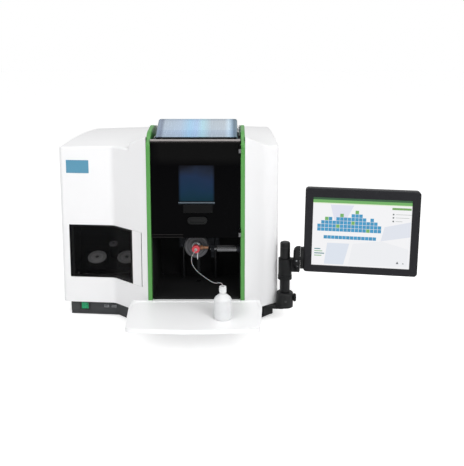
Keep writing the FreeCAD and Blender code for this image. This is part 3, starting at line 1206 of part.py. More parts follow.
def active_outline(grow):
    u0 = SCREEN_CENTRE_U - SCREEN_ACTIVE_WIDTH / 2 - grow
    u1 = SCREEN_CENTRE_U + SCREEN_ACTIVE_WIDTH / 2 + grow
    z0 = SCREEN_CENTRE_Z - SCREEN_HEIGHT / 2 + SCREEN_BEZEL_BOTTOM - grow
    z1 = z0 + SCREEN_ACTIVE_HEIGHT + 2 * grow
    return [(u0, z0), (u1, z0), (u1, z1), (u0, z1)]


def screen_shell():
    """Rear housing of the screen with a raised back and rows of vents."""
    front, back = SCREEN_FRONT + 12, SCREEN_FRONT + SCREEN_DEPTH
    shell = front_prism(screen_outline(0), [SCREEN_CORNER] * 4, front, back - 10)
    shell = shell.makeFillet(5, [edge for edge in shell.Edges if edge.BoundBox.YMin > back - 10.1])
    hump = front_prism(screen_outline(-38), [20] * 4, back - 12, back)
    hump = hump.makeFillet(5, [edge for edge in hump.Edges if edge.BoundBox.YMin > back - 0.1])
    top_z = SCREEN_CENTRE_Z + SCREEN_HEIGHT / 2 - 62
    vents = [block(u, u + 4, back - 4, back + 5, top_z - 34, top_z)
             for u in range(int(SCREEN_CENTRE_U) - 92, int(SCREEN_CENTRE_U) + 92, 12)]
    return in_screen_frame(fuse(shell, hump).cut(Part.makeCompound(vents)))


def screen_bezel():
    front = SCREEN_FRONT
    frame = front_prism(screen_outline(0), [SCREEN_CORNER] * 4, front, front + 12)
    frame = frame.makeFillet(3, [edge for edge in frame.Edges if edge.BoundBox.YMax < front + 0.1])
    opening = front_prism(active_outline(0), [0] * 4, front - 1, front + 20)
    rebate = front_prism(active_outline(4), [0] * 4, front + 4, front + 20)
    return in_screen_frame(frame.cut(opening).cut(rebate))


def screen_panel():
    return in_screen_frame(front_prism(active_outline(3.7), [0] * 4, SCREEN_FRONT + 4, SCREEN_FRONT + 12))


def optical_bench():
    """Ribbed casting on four legs that keeps lamps, burner and monochromator in line."""
    plate = rounded_bar(HOUSING_LEFT + 26, HOUSING_RIGHT - 26, LAMP_BAY_BACK + 14, HOUSING_BACK - 30,
                        BENCH_Z, BENCH_Z + 10, 20)
    floor = FOOT_HEIGHT + PAN_FLOOR
    legs = [rod("z", place, 11, floor, BENCH_Z + 5) for place in BENCH_LEGS]
    ribs = [block(x, x + 6, LAMP_BAY_BACK + 24, HOUSING_BACK - 40, BENCH_Z - 16, BENCH_Z + 1)
            for x in range(-360, 201, 112)]
    return fuse(plate, *legs, *ribs)


def monochromator():
    """Cast case with a slit tube towards the burner and the detector's can on its side."""
    z0 = BENCH_Z + 10
    case = rounded_bar(-110, 205, BAY_BACK + 94, HOUSING_BACK - 50, z0, z0 + 130, 16)
    case = case.makeFillet(4, [edge for edge in case.Edges if edge.BoundBox.ZMin > z0 + 129])
    slit = rod("y", (150, z0 + 70), 22, BAY_BACK + 60, BAY_BACK + 95)
    can = rod("x", (HOUSING_BACK - 130, z0 + 60), 28, -180, -109)
    return fuse(case, slit, can)


def power_supply():
    """Closed supply whose mains inlet looks out through the rear panel."""
    x0, x1 = INLET_X
    z0, z1 = INLET_Z
    back = HOUSING_BACK - REAR_PANEL_WALL
    box = block(PSU_X[0], PSU_X[1], back - 156, back - 0.3, PLINTH_TOP, 132)
    feet = [rod("z", (x, back - 140), 7, FOOT_HEIGHT + PAN_FLOOR, PLINTH_TOP + 1)
            for x in (PSU_X[0] + 12, PSU_X[1] - 12)]
    nose = block(x0 + 0.3, x1 - 0.3, back - 1, HOUSING_BACK + 1.5, z0 + 0.3, z1 - 0.3)
    cup = front_prism([(x0 + 2, z0 + 2), (x1 - 2, z0 + 2), (x1 - 2, z1 - 2), (x0 + 2, z1 - 2)],
                      [2, 2, 5, 5], back - 13, HOUSING_BACK + 5)
    middle_x, middle_z = (x0 + x1) / 2, (z0 + z1) / 2
    pins = [block(middle_x + dx - 1, middle_x + dx + 1, back - 14, back, middle_z + dz - 2, middle_z + dz + 2)
            for dx, dz in ((-7, -3), (0, 3), (7, -3))]
    return fuse(fuse(box, nose, *feet).cut(cup), *pins)


def gas_box():
    """Valve block of the gas supply with its two ports through the rear panel."""
    back = HOUSING_BACK - REAR_PANEL_WALL
    box = block(GAS_PORT_X - 34, GAS_PORT_X + 34, back - 70, back - 4, PLINTH_TOP, 215)
    foot = block(GAS_PORT_X - 20, GAS_PORT_X + 20, back - 66, back - 40, FOOT_HEIGHT + PAN_FLOOR, PLINTH_TOP + 1)
    ports, bores = [], []
    for z in GAS_PORTS_Z:
        ports.append(rod("y", (GAS_PORT_X, z), GAS_PORT_RADIUS, back - 5, HOUSING_BACK + GAS_PORT_REACH))
        bores.append(rod("y", (GAS_PORT_X, z), GAS_BORE_RADIUS, HOUSING_BACK, HOUSING_BACK + GAS_PORT_REACH + 1))
    return fuse(box, foot, *ports).cut(Part.makeCompound(bores))


def build_nodes():
    right_trim = bay_trim()
    return {
        "base_pan": base_pan(), "rubber_feet": rubber_feet(),
        "left_cover": left_cover(), "right_cover": right_cover(), "centre_cover": centre_cover(),
        "rear_panel": rear_panel(), "left_trim": mirrored(right_trim), "right_trim": right_trim,
        "front_sill": front_sill(), "burner_bay_liner": burner_bay_liner(),
        "burner_bay_floor": burner_bay_floor(), "exhaust_frame": exhaust_frame(),
        "heat_shield": heat_shield(), "beam_windows": beam_windows(),
        "burner_door": burner_door(), "door_window": door_window(),
        "door_latch_block": door_latch_block(), "door_finger_pull": door_finger_pull(),
        "door_top_strip": door_top_strip(), "door_hinge_brackets": door_hinge_brackets(),
        "burner_head": burner_head(), "spray_chamber": spray_chamber(),
        "chamber_end_cap": chamber_end_cap(), "nebulizer_body": nebulizer_body(),
        "nebulizer_knob": nebulizer_knob(), "oxidant_fitting": oxidant_fitting(),
        "drain_elbow": drain_elbow(), "sample_tube": sample_tube(),
        "burner_carriage": burner_carriage(), "guide_rods": guide_rods(),
        "height_knob": height_knob(), "height_pinion": height_pinion(),
        "knob_bearing": knob_bearing(), "igniter_arm": igniter_arm(),
        "lamp_bay_liner": lamp_bay_liner(), "lamp_cradle": lamp_cradle(),
        "lamp_left": hollow_cathode_lamp(LAMP_LEFT_X), "lamp_centre": small_lamp(),
        "lamp_right": hollow_cathode_lamp(LAMP_RIGHT_X), "lamp_door_frame": lamp_door_frame(),
        "lamp_door_window": lamp_door_window(), "lamp_door_pins": lamp_door_pins(),
        "front_tray": front_tray(), "sample_bottle": sample_bottle(), "bottle_cap": bottle_cap(),
        "switch_frame": switch_frame(), "switch_rocker": switch_rocker(), "usb_ports": usb_ports(),
        "arm_bracket": arm_bracket(), "arm_pole": arm_pole(), "arm_clamp": arm_clamp(),
        "arm_collar": arm_collar(), "tilt_hub": tilt_hub(), "screen_shell": screen_shell(),
        "screen_bezel": screen_bezel(), "screen_panel": screen_panel(),
        "optical_bench": optical_bench(), "monochromator": monochromator(),
        "power_supply": power_supply(), "gas_box": gas_box(),
    }


def footprint_shift(nodes):
    """Vector that brings the middle of the footprint to the origin, leaving out the loose tube."""
    box = FreeCAD.BoundBox()
    for name, shape in nodes.items():
        if name != "sample_tube":
            box.add(shape.optimalBoundingBox(False, False))
    return Vector(-(box.XMin + box.XMax) / 2, -(box.YMin + box.YMax) / 2, -box.ZMin)


def main():
    os.makedirs("parts", exist_ok=True)
    nodes = build_nodes()
    shift = footprint_shift(nodes)
    print("shift %.4f %.4f %.4f" % tuple(shift))
    for name, shape in nodes.items():
        placed = moved(shape, *shift)
        if not placed.isValid():
            print("invalid", name)
        placed.exportStep("parts/%s.step" % name)


if __name__ == "__main__":
    main()
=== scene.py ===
"""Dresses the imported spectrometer: finishes for every solid, the added details, floor, light and camera."""

import math

import bmesh
import bpy
from mathutils import Matrix, Vector


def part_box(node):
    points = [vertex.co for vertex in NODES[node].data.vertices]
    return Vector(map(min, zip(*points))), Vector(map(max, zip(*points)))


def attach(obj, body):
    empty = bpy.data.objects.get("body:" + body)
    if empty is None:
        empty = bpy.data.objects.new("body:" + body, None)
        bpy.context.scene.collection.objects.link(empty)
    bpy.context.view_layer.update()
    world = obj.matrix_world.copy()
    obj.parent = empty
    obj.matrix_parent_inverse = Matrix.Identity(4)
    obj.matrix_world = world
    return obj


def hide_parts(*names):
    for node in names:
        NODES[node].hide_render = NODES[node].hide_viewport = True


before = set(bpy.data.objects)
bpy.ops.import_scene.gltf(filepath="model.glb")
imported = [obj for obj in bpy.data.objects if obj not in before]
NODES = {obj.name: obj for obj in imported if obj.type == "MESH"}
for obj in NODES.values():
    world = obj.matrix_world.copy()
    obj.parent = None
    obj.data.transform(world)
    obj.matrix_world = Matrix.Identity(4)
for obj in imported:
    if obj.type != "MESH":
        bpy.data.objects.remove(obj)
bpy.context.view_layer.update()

# Places below are in millimetres from the middle of the burner bay, the front of its trims and
# the bench, as in the part's source; the bottle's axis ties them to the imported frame.
BOTTLE_AXIS = (80.0, -130.0)
SHELF_TOP = 96.0
POLE = (268.0, 89.0)
LAMP_X = {"left": -332.0, "centre": -284.0, "right": -236.0}
HOUSING_LEFT, HOUSING_RIGHT = -424.0, 247.0
WING_CORNER_X = -259.0
WING_FRONT_LEFT, WING_FRONT_INNER = 120.0, 106.0
low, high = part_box("sample_bottle")
SHIFT = Vector(((low.x + high.x) / 2 - BOTTLE_AXIS[0] / 1000, (low.y + high.y) / 2 - BOTTLE_AXIS[1] / 1000, 0))


def at(x, y, z):
    """A place in millimetres as a point of the frame, in metres."""
    return Vector((x / 1000, y / 1000, z / 1000)) + SHIFT


# Camera: matched to the photograph's outline and verticals
CAMERA_PLACE = at(107.0, -1878.2, 818.9)
CAMERA_PITCH = math.radians(8.0)
CAMERA_FOCUS_PX = 662.7
FRAME_HEIGHT_PX = 466
camera = bpy.data.cameras.new("camera")
camera.sensor_width = 36
camera.lens = CAMERA_FOCUS_PX * camera.sensor_width / FRAME_HEIGHT_PX
camera.shift_x = -0.0013
camera.shift_y = -0.1842
camera.clip_start, camera.clip_end = 0.05, 60
viewer = bpy.data.objects.new("camera", camera)
bpy.context.scene.collection.objects.link(viewer)
viewer.location = CAMERA_PLACE
viewer.rotation_euler = (math.pi / 2 - CAMERA_PITCH, 0, 0)
bpy.context.scene.camera = viewer


def srgb(r, g, b):
    """A colour as it is read off a screen, 0 to 255, in linear light."""
    return tuple((c / 255 / 12.92 if c <= 10.3 else ((c / 255 + 0.055) / 1.055) ** 2.4) for c in (r, g, b)) + (1.0,)


class Finish:
    """One material: its shader, and short ways to add the patterns that it is made of."""

    def __init__(self, name, colour, roughness, **sockets):
        self.material = bpy.data.materials.new(name)
        self.material.use_nodes = True
        self.tree = self.material.node_tree
        self.shader = self.tree.nodes["Principled BSDF"]
        self.set("Base Color", colour)
        self.set("Roughness", roughness)
        for socket, value in sockets.items():
            self.set(socket.replace("_", " "), value)
        self.place = self.tree.nodes.new("ShaderNodeTexCoord").outputs["Object"]
        self.height = None

    def set(self, socket, value):
        self.shader.inputs[socket].default_value = value

    def node(self, kind, values=None, **links):
        node = self.tree.nodes.new(kind)
        for key, value in (values or {}).items():
            if key in node.inputs:
                node.inputs[key].default_value = value
            else:
                setattr(node, key, value)
        for key, source in links.items():
            self.tree.links.new(source, node.inputs[key.replace("_", " ")])
        return node

    def stretched(self, scale):
        return self.node("ShaderNodeMapping", {"Scale": scale}, Vector=self.place).outputs[0]

    def noise(self, scale, detail=3.0, place=None):
        return self.node("ShaderNodeTexNoise", {"Scale": scale, "Detail": detail},
                         Vector=place or self.place).outputs["Fac"]

    def cells(self, scale):
        return self.node("ShaderNodeTexVoronoi", {"Scale": scale}, Vector=self.place).outputs["Distance"]

    def spread(self, value, low, high, to_low=0.0, to_high=1.0):
        return self.node("ShaderNodeMapRange", {"From Min": low, "From Max": high, "To Min": to_low,
                                                "To Max": to_high}, Value=value).outputs[0]

    def maths(self, operation, a, b):
        node = self.node("ShaderNodeMath", {"operation": operation})
        for i, value in enumerate((a, b)):
            if isinstance(value, (int, float)):
                node.inputs[i].default_value = value
            else:
                self.tree.links.new(value, node.inputs[i])
        return node.outputs[0]

    def axis(self, name):
        return self.node("ShaderNodeSeparateXYZ", Vector=self.place).outputs[name]

    def blend(self, amount, first, second):
        node = self.node("ShaderNodeMix", {"data_type": "RGBA"})
        self.tree.links.new(amount, node.inputs["Factor"])
        for socket, value in (("A", first), ("B", second)):
            target = [s for s in node.inputs if s.name == socket and s.type == "RGBA"][0]
            if isinstance(value, tuple):
                target.default_value = value
            else:
                self.tree.links.new(value, target)
        return [s for s in node.outputs if s.type == "RGBA"][0]

    def ramp(self, amount, stops):
        node = self.node("ShaderNodeValToRGB", Fac=amount)
        marks = node.color_ramp.elements
        while len(marks) < len(stops):
            marks.new(0.5)
        for mark, (position, colour) in zip(marks, stops):
            mark.position, mark.color = position, colour
        return node.outputs["Color"]

    def link(self, socket, source):
        self.tree.links.new(source, self.shader.inputs[socket])
        return self

    def bump(self, height, strength, depth):
        """Adds a relief of that depth in metres; reliefs stack."""
        node = self.node("ShaderNodeBump", {"Strength": strength, "Distance": depth}, Height=height)
        if self.height is not None:
            self.tree.links.new(self.height, node.inputs["Normal"])
        self.height = node.outputs[0]
        self.tree.links.new(self.height, self.shader.inputs["Normal"])
        return self


def moulded(name, colour, roughness, grain=2600.0, grain_depth=0.00003, tone=0.03, **sockets):
    """Moulded or powder-coated skin: fine grain, slow waviness, slight unevenness of tone and gloss."""
    skin = Finish(name, colour, roughness, **sockets)
    cloud = skin.noise(7.0, 4.0)
    dark = tuple(c * (1 - tone) for c in colour[:3]) + (1.0,)
    skin.link("Base Color", skin.blend(skin.spread(cloud, 0.35, 0.65), colour, dark))
    speck = skin.noise(grain, 2.0)
    gloss = skin.maths("ADD", skin.spread(cloud, 0.3, 0.7, roughness - 0.03, roughness + 0.03),
                       skin.spread(speck, 0.3, 0.7, -0.03, 0.03))
    skin.link("Roughness", gloss)
    skin.bump(speck, 0.25, grain_depth)
    skin.bump(skin.noise(22.0, 1.0), 0.08, 0.0006)
    return skin


def machined(name, colour, roughness, direction=(40, 900, 900), metallic=1.0, **sockets):
    """Bare metal with fine drawn lines along the axis whose number is smallest."""
    metal = Finish(name, colour, roughness, Metallic=metallic, **sockets)
    lines = metal.noise(1.0, 3.0, metal.stretched(direction))
    metal.link("Roughness", metal.spread(lines, 0.3, 0.7, roughness * 0.7, roughness * 1.4))
    dark = tuple(c * 0.86 for c in colour[:3]) + (1.0,)
    metal.link("Base Color", metal.blend(metal.spread(lines, 0.3, 0.7), colour, dark))
    metal.bump(lines, 0.12, 0.00005)
    return metal


def dress(finish, *names):
    for name in names:
        slots = NODES[name].data.materials
        slots.clear()
        slots.append(finish.material)


# Finishes of the solids
WHITE = srgb(240, 240, 241)
GREEN = srgb(82, 150, 72)
white_shell = moulded("white_shell", WHITE, 0.46, tone=0.012)
white_tray = moulded("white_tray", srgb(246, 246, 247), 0.4, tone=0.015)
green_shell = moulded("green_shell", GREEN, 0.34, grain=3400.0, grain_depth=0.00002, tone=0.06)
plinth_paint = moulded("plinth_paint", srgb(58, 60, 62), 0.55, grain=1800.0, grain_depth=0.00006, tone=0.08)
rear_paint = moulded("rear_paint", srgb(196, 198, 200), 0.5, grain=1600.0, grain_depth=0.00005, tone=0.03)
foot_rubber = moulded("foot_rubber", srgb(34, 34, 35), 0.82, grain=900.0, grain_depth=0.0001, tone=0.15,
                      Specular_IOR_Level=0.3)
bay_paint = moulded("bay_paint", srgb(36, 36, 37), 0.66, grain=1500.0, grain_depth=0.00005, tone=0.25,
                    Specular_IOR_Level=0.08)
rod_black = moulded("rod_black", srgb(30, 31, 33), 0.35, tone=0.2)
latch_gloss = moulded("latch_gloss", srgb(13, 13, 14), 0.26, grain=1800.0, grain_depth=0.00002, tone=0.2,
                      Specular_IOR_Level=0.12)
pull_satin = moulded("pull_satin", srgb(17, 18, 19), 0.38, grain=1800.0, grain_depth=0.00003, tone=0.2,
                     Specular_IOR_Level=0.2)
cap_plastic = moulded("cap_plastic", srgb(88, 88, 91), 0.36, grain=1500.0, grain_depth=0.00004, tone=0.15,
                      Specular_IOR_Level=0.3)
chamber_plastic = moulded("chamber_plastic", srgb(48, 49, 51), 0.45, tone=0.2, Specular_IOR_Level=0.2)
knob_red = moulded("knob_red", srgb(192, 58, 68), 0.3, grain=900.0, grain_depth=0.00001, tone=0.08)
knob_black = moulded("knob_black", srgb(128, 129, 131), 0.2, grain=500.0, grain_depth=0.00001, tone=0.2,
                     Metallic=0.9)
arm_paint = moulded("arm_paint", srgb(20, 21, 22), 0.5, grain=1100.0, grain_depth=0.00007, tone=0.2,
                    Specular_IOR_Level=0.2)
bracket_paint = moulded("bracket_paint", srgb(25, 26, 27), 0.46, grain=1100.0, grain_depth=0.00007, tone=0.2,
                        Specular_IOR_Level=0.3)
pole_paint = moulded("pole_paint", srgb(18, 19, 20), 0.32, grain=1300.0, grain_depth=0.00003, tone=0.2,
                     Specular_IOR_Level=0.25)
bezel_satin = moulded("bezel_satin", srgb(30, 30, 34), 0.42, grain=1500.0, grain_depth=0.00004, tone=0.12,
                      Specular_IOR_Level=0.2)
switch_black = moulded("switch_black", srgb(26, 27, 28), 0.35, tone=0.15)
casting_paint = moulded("casting_paint", srgb(112, 116, 120), 0.6, grain=500.0, grain_depth=0.0002, tone=0.1)
gas_block_paint = moulded("gas_block_paint", srgb(150, 152, 155), 0.5, tone=0.06)

steel = machined("steel", srgb(176, 178, 180), 0.3, metallic=0.5)
dark_steel = machined("dark_steel", srgb(58, 60, 64), 0.36)
tarnished = machined("tarnished_alloy", srgb(44, 46, 49), 0.5)
door_silver = machined("door_silver", srgb(152, 147, 146), 0.4, direction=(12, 1500, 1500), metallic=0.3)
sill_steel = machined("sill_steel", srgb(92, 104, 114), 0.34, direction=(12, 1500, 1500), metallic=0.3)
bead_black = moulded("bead_black", srgb(40, 37, 37), 0.3, tone=0.2, Specular_IOR_Level=0.2)
clip_steel = machined("clip_steel", srgb(206, 207, 210), 0.3, metallic=0.3)
fastener_zinc = machined("fastener_zinc", srgb(150, 152, 155), 0.36, metallic=0.6)
fastener_black = machined("fastener_black", srgb(58, 59, 61), 0.4, metallic=0.4)
badge_paint = moulded("badge_paint", srgb(88, 148, 176), 0.3, grain=2400.0, grain_depth=0.00001, tone=0.06)
brass = machined("brass", srgb(150, 108, 80), 0.34, metallic=0.4)
titanium = machined("titanium", srgb(150, 146, 141), 0.38)
supply_steel = machined("supply_steel", srgb(170, 173, 176), 0.4, direction=(60, 60, 60))
port_shell = machined("port_shell", srgb(196, 198, 201), 0.32, metallic=0.3)


def shield_steel():
    """Polished stainless hood: drawn lines down the slope, with painted reflection in its colour: bands across it with
    painted shade at the folded sides, a painted highlight near the right and a bluish cast between, and rows of painted
    highlight and shade down the slope.
    """
    hood = Finish("shield_steel", srgb(196, 212, 226), 0.24, Metallic=0.42)
    left_edge, right_edge = at(-117, 0, 0).x, at(121, 0, 0).x
    lower_edge, upper_edge = 0.584, 0.624
    across = hood.spread(hood.axis("X"), left_edge, right_edge)
    wander = hood.maths("MULTIPLY", hood.noise(1.0, 2.0, hood.stretched((26, 3, 3))), 0.05)
    # Painted reflection across the hood: painted shade at both folded sides, a painted highlight near the right side, a
    # bluish painted reflection between.
    painted_reflection_bands = hood.ramp(hood.maths("ADD", hood.maths("SUBTRACT", across, 0.025), wander), [
        (0.0, srgb(120, 132, 146)), (0.03, srgb(150, 164, 184)), (0.07, srgb(136, 148, 166)),
        (0.1, srgb(186, 200, 214)), (0.3, srgb(188, 206, 226)), (0.41, srgb(174, 214, 242)),
        (0.5, srgb(182, 210, 242)), (0.57, srgb(188, 226, 238)), (0.68, srgb(192, 204, 214)),
        (0.84, srgb(196, 206, 215)), (0.9, srgb(212, 232, 246)), (0.935, srgb(160, 184, 204)),
        (0.96, srgb(112, 132, 148)), (1.0, srgb(128, 148, 160))])
    down = hood.spread(hood.axis("Z"), lower_edge, upper_edge)
    # Painted highlight and shade in rows down the slope, mostly in its lower part.
    painted_highlight_rows = hood.ramp(down, [(0.0, srgb(228, 234, 240)), (0.05, srgb(236, 240, 244)), (0.08, srgb(206, 212, 222)),
                             (0.15, srgb(240, 244, 250)), (0.19, srgb(212, 218, 232)), (0.25, srgb(242, 246, 252)),
                             (0.3, srgb(220, 228, 240)), (0.38, srgb(250, 252, 255)), (0.86, srgb(250, 250, 250)),
                             (1.0, srgb(214, 218, 222))])
    # The two painted patterns are multiplied together into the base colour.
    tint = hood.node("ShaderNodeMix", {"data_type": "RGBA", "blend_type": "MULTIPLY"})
    tint.inputs["Factor"].default_value = 1.0
    colours = [s for s in tint.inputs if s.type == "RGBA"]
    hood.tree.links.new(painted_reflection_bands, colours[0])
    hood.tree.links.new(painted_highlight_rows, colours[1])
    hood.link("Base Color", [s for s in tint.outputs if s.type == "RGBA"][0])
    lines = hood.noise(1.0, 4.0, hood.stretched((1400, 24, 24)))
    hood.link("Roughness", hood.spread(lines, 0.3, 0.7, 0.16, 0.3))
    return hood.bump(lines, 0.1, 0.00004)


def door_acrylic():
    """Door skin: deep black gloss, a shade lighter across the top where the sky falls on it."""
    skin = Finish("door_acrylic", srgb(3, 3, 4), 0.16, Specular_IOR_Level=0.03)
    height = skin.spread(skin.axis("Z"), 0.500, 0.530)
    inner = skin.spread(skin.axis("X"), at(-122, 0, 0).x, at(-96, 0, 0).x)
    cloud = skin.spread(skin.noise(9.0, 3.0), 0.3, 0.7, 0.7, 1.1)
    lit = skin.maths("MULTIPLY", skin.maths("MULTIPLY", height, skin.maths("ADD", inner, 0.4)), cloud)
    skin.link("Base Color", skin.ramp(lit, [(0.0, srgb(3, 3, 4)), (1.0, srgb(15, 15, 15))]))
    skin.link("Roughness", skin.spread(skin.noise(60.0, 3.0), 0.3, 0.7, 0.12, 0.2))
    return skin.bump(skin.noise(300.0, 2.0), 0.1, 0.000004)


def hinge_enamel():
    """Brackets painted with the trim they lie on, grey where they roll round the pin as a painted highlight."""
    enamel = moulded("hinge_enamel", GREEN, 0.34, grain=3400.0, grain_depth=0.00002, tone=0.06)
    edge = at(131, 0, 0).x
    on_trim = enamel.spread(enamel.axis("X"), edge - 0.0004, edge + 0.0004)
    # The grey at the pin's roll is a painted highlight.
    enamel.link("Base Color", enamel.blend(on_trim, srgb(104, 104, 106), GREEN))
    return enamel


LAMP_SEAT = (200.0, 170.0)
LAMP_LEAN = math.radians(23)


def lamp_cap(name, x, aside, top, radius):
    """A lamp's base: pale end plate with a dark hub, dark barrel below it."""
    cap = Finish(name, srgb(30, 30, 31), 0.5, Specular_IOR_Level=0.2)
    axis = Vector((0, -math.sin(LAMP_LEAN), math.cos(LAMP_LEAN)))
    across = Vector((0, math.cos(LAMP_LEAN), math.sin(LAMP_LEAN)))
    centre = at(x, *LAMP_SEAT) + (axis * top + across * aside) / 1000
    offset = cap.node("ShaderNodeVectorMath", {"operation": "SUBTRACT"})
    cap.tree.links.new(cap.place, offset.inputs[0])
    offset.inputs[1].default_value = centre
    along = cap.node("ShaderNodeVectorMath", {"operation": "DOT_PRODUCT"})
    cap.tree.links.new(offset.outputs[0], along.inputs[0])
    along.inputs[1].default_value = axis
    sideways = cap.node("ShaderNodeVectorMath", {"operation": "CROSS_PRODUCT"})
    cap.tree.links.new(offset.outputs[0], sideways.inputs[0])
    sideways.inputs[1].default_value = axis
    from_axis = cap.node("ShaderNodeVectorMath", {"operation": "LENGTH"})
    cap.tree.links.new(sideways.outputs[0], from_axis.inputs[0])
    ring = cap.spread(from_axis.outputs["Value"], 0.0, radius / 1000)
    plate = cap.ramp(ring, [(0.0, srgb(96, 96, 97)), (0.16, srgb(120, 120, 121)), (0.2, srgb(196, 196, 197)),
                            (0.62, srgb(224, 224, 225)), (0.66, srgb(190, 190, 191)), (0.9, srgb(206, 206, 207)),
                            (1.0, srgb(150, 150, 151))])
    on_plate = cap.spread(along.outputs["Value"], -0.0045, -0.004)
    cap.link("Base Color", cap.blend(on_plate, srgb(30, 30, 31), plate))
    cap.link("Roughness", cap.spread(cap.noise(300.0, 3.0), 0.3, 0.7, 0.4, 0.6))
    return cap.bump(cap.noise(1400.0, 2.0), 0.15, 0.00005)


def lamp_door_shell():
    """The lamp door's moulding: white where it is gripped, black where it frames the pane."""
    shell = moulded("lamp_door_shell", WHITE, 0.46, tone=0.012)
    edge = at(-193.9, 0, 0).x
    behind_pane = shell.spread(shell.axis("X"), edge - 0.0001, edge + 0.0001, 1.0, 0.0)
    shell.link("Base Color", shell.blend(behind_pane, WHITE, srgb(11, 11, 12)))
    return shell


def filter_glass():
    """Deep blue viewing glass, greener towards its lower edge, darker at its top, nearly black at its sides."""
    pane = Finish("filter_glass", srgb(27, 44, 76), 0.1, Specular_IOR_Level=0.06)
    fall = pane.spread(pane.axis("Z"), 0.400, 0.500)
    drift = pane.maths("ADD", fall, pane.spread(pane.noise(14.0, 2.0), 0.3, 0.7, -0.12, 0.12))
    blue = pane.ramp(drift, [(0.0, srgb(12, 43, 56)), (0.3, srgb(18, 43, 66)), (0.62, srgb(26, 42, 68)),
                             (0.85, srgb(28, 36, 52)), (1.0, srgb(18, 20, 28))])
    left, right = (corner.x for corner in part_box("door_window"))
    fade = 0.011
    inward = pane.maths("MINIMUM", pane.spread(pane.axis("X"), left, left + fade),
                        pane.spread(pane.axis("X"), right, right - fade))
    pane.link("Base Color", pane.blend(inward, srgb(8, 9, 12), blue))
    pane.link("Roughness", pane.spread(pane.noise(40.0, 3.0), 0.3, 0.7, 0.05, 0.12))
    return pane


def smoked_pane():
    """Dark see-through plastic of the lamp door."""
    pane = Finish("smoked_pane", srgb(6, 6, 7), 0.08, Alpha=0.34, Specular_IOR_Level=0.1)
    pane.link("Roughness", pane.spread(pane.noise(30.0, 3.0), 0.3, 0.7, 0.04, 0.1))
    return pane.bump(pane.noise(9.0, 1.0), 0.06, 0.0008)


def quartz():
    disc = Finish("quartz", srgb(236, 240, 242), 0.03, Transmission_Weight=0.9, IOR=1.46)
    disc.link("Roughness", disc.spread(disc.noise(120.0, 2.0), 0.3, 0.7, 0.02, 0.09))
    return disc


def bottle_plastic(name, colour, veil):
    """Natural polyethylene: a little light passes through it, and it is faintly wavy."""
    skin = Finish(name, colour, 0.36, Subsurface_Weight=veil, Subsurface_Scale=0.004)
    skin.set("Subsurface Radius", (1.0, 0.95, 0.9))
    skin.link("Base Color", skin.blend(skin.spread(skin.noise(60.0, 3.0), 0.3, 0.7), colour,
                                       tuple(c * 0.95 for c in colour[:3]) + (1.0,)))
    skin.link("Roughness", skin.spread(skin.noise(240.0, 2.0), 0.3, 0.7, 0.3, 0.44))
    return skin.bump(skin.noise(180.0, 2.0), 0.15, 0.0002)


def clear_tube():
    """Milky fluoropolymer tubing."""
    skin = Finish("clear_tube", srgb(150, 152, 154), 0.24, Subsurface_Weight=0.3, Subsurface_Scale=0.001)
    skin.link("Base Color", skin.blend(skin.spread(skin.noise(160.0, 3.0), 0.35, 0.65),
                                       srgb(158, 160, 162), srgb(138, 141, 144)))
    return skin.bump(skin.noise(900.0, 2.0), 0.1, 0.00005)


def panel_glass():
    """Dark glass of the screen around and behind its picture."""
    glass = Finish("panel_glass", srgb(16, 17, 20), 0.12, Specular_IOR_Level=0.3)
    glass.link("Roughness", glass.spread(glass.noise(30.0, 2.0), 0.3, 0.7, 0.09, 0.16))
    return glass.bump(glass.noise(4000.0, 1.0), 0.05, 0.00001)


def lit_green():
    """Rocker moulded in clear green, lit from behind."""
    cap = Finish("lit_green", srgb(40, 160, 110), 0.28, Specular_IOR_Level=0.3)
    glow = cap.spread(cap.cells(240.0), 0.1, 0.8)
    cap.link("Base Color", cap.blend(glow, srgb(44, 150, 104), srgb(18, 116, 74)))
    cap.link("Emission Color", cap.blend(glow, srgb(60, 190, 130), srgb(18, 130, 84)))
    cap.set("Emission Strength", 0.22)
    return cap.bump(cap.noise(500.0, 2.0), 0.1, 0.00005)


dress(white_shell, "left_cover", "right_cover", "centre_cover", "front_sill")
dress(lamp_door_shell(), "lamp_door_frame")
dress(white_tray, "front_tray")
dress(rear_paint, "rear_panel")
dress(green_shell, "left_trim", "right_trim")
dress(plinth_paint, "base_pan")
dress(foot_rubber, "rubber_feet")
dress(bay_paint, "burner_bay_liner", "burner_bay_floor", "exhaust_frame", "lamp_bay_liner")
dress(rod_black, "guide_rods")
dress(shield_steel(), "heat_shield")
dress(quartz(), "beam_windows")
dress(door_acrylic(), "burner_door")
dress(latch_gloss, "door_latch_block")
dress(pull_satin, "door_finger_pull")
dress(filter_glass(), "door_window")
dress(door_silver, "door_top_strip")
dress(hinge_enamel(), "door_hinge_brackets")
dress(fastener_black, "lamp_door_pins")
dress(titanium, "burner_head", "igniter_arm")
dress(chamber_plastic, "spray_chamber", "drain_elbow")
dress(cap_plastic, "chamber_end_cap")
dress(steel, "nebulizer_body")
dress(knob_red, "nebulizer_knob")
dress(brass, "oxidant_fitting")
dress(dark_steel, "height_pinion", "knob_bearing")
dress(tarnished, "burner_carriage", "lamp_cradle")
dress(knob_black, "height_knob")
dress(lamp_cap("lamp_cap_left", LAMP_X["left"], 0.0, 0.0, 31.0), "lamp_left")
dress(lamp_cap("lamp_cap_centre", LAMP_X["centre"], 42.0, 20.0, 14.0), "lamp_centre")
dress(lamp_cap("lamp_cap_right", LAMP_X["right"], 0.0, 0.0, 31.0), "lamp_right")
dress(smoked_pane(), "lamp_door_window")
dress(bottle_plastic("bottle_plastic", srgb(226, 227, 228), 0.25), "sample_bottle")
dress(bottle_plastic("cap_polymer", srgb(222, 223, 223), 0.15), "bottle_cap")
dress(switch_black, "switch_frame")
dress(lit_green(), "switch_rocker")
dress(port_shell, "usb_ports")
dress(arm_paint, "arm_clamp", "arm_collar", "tilt_hub")
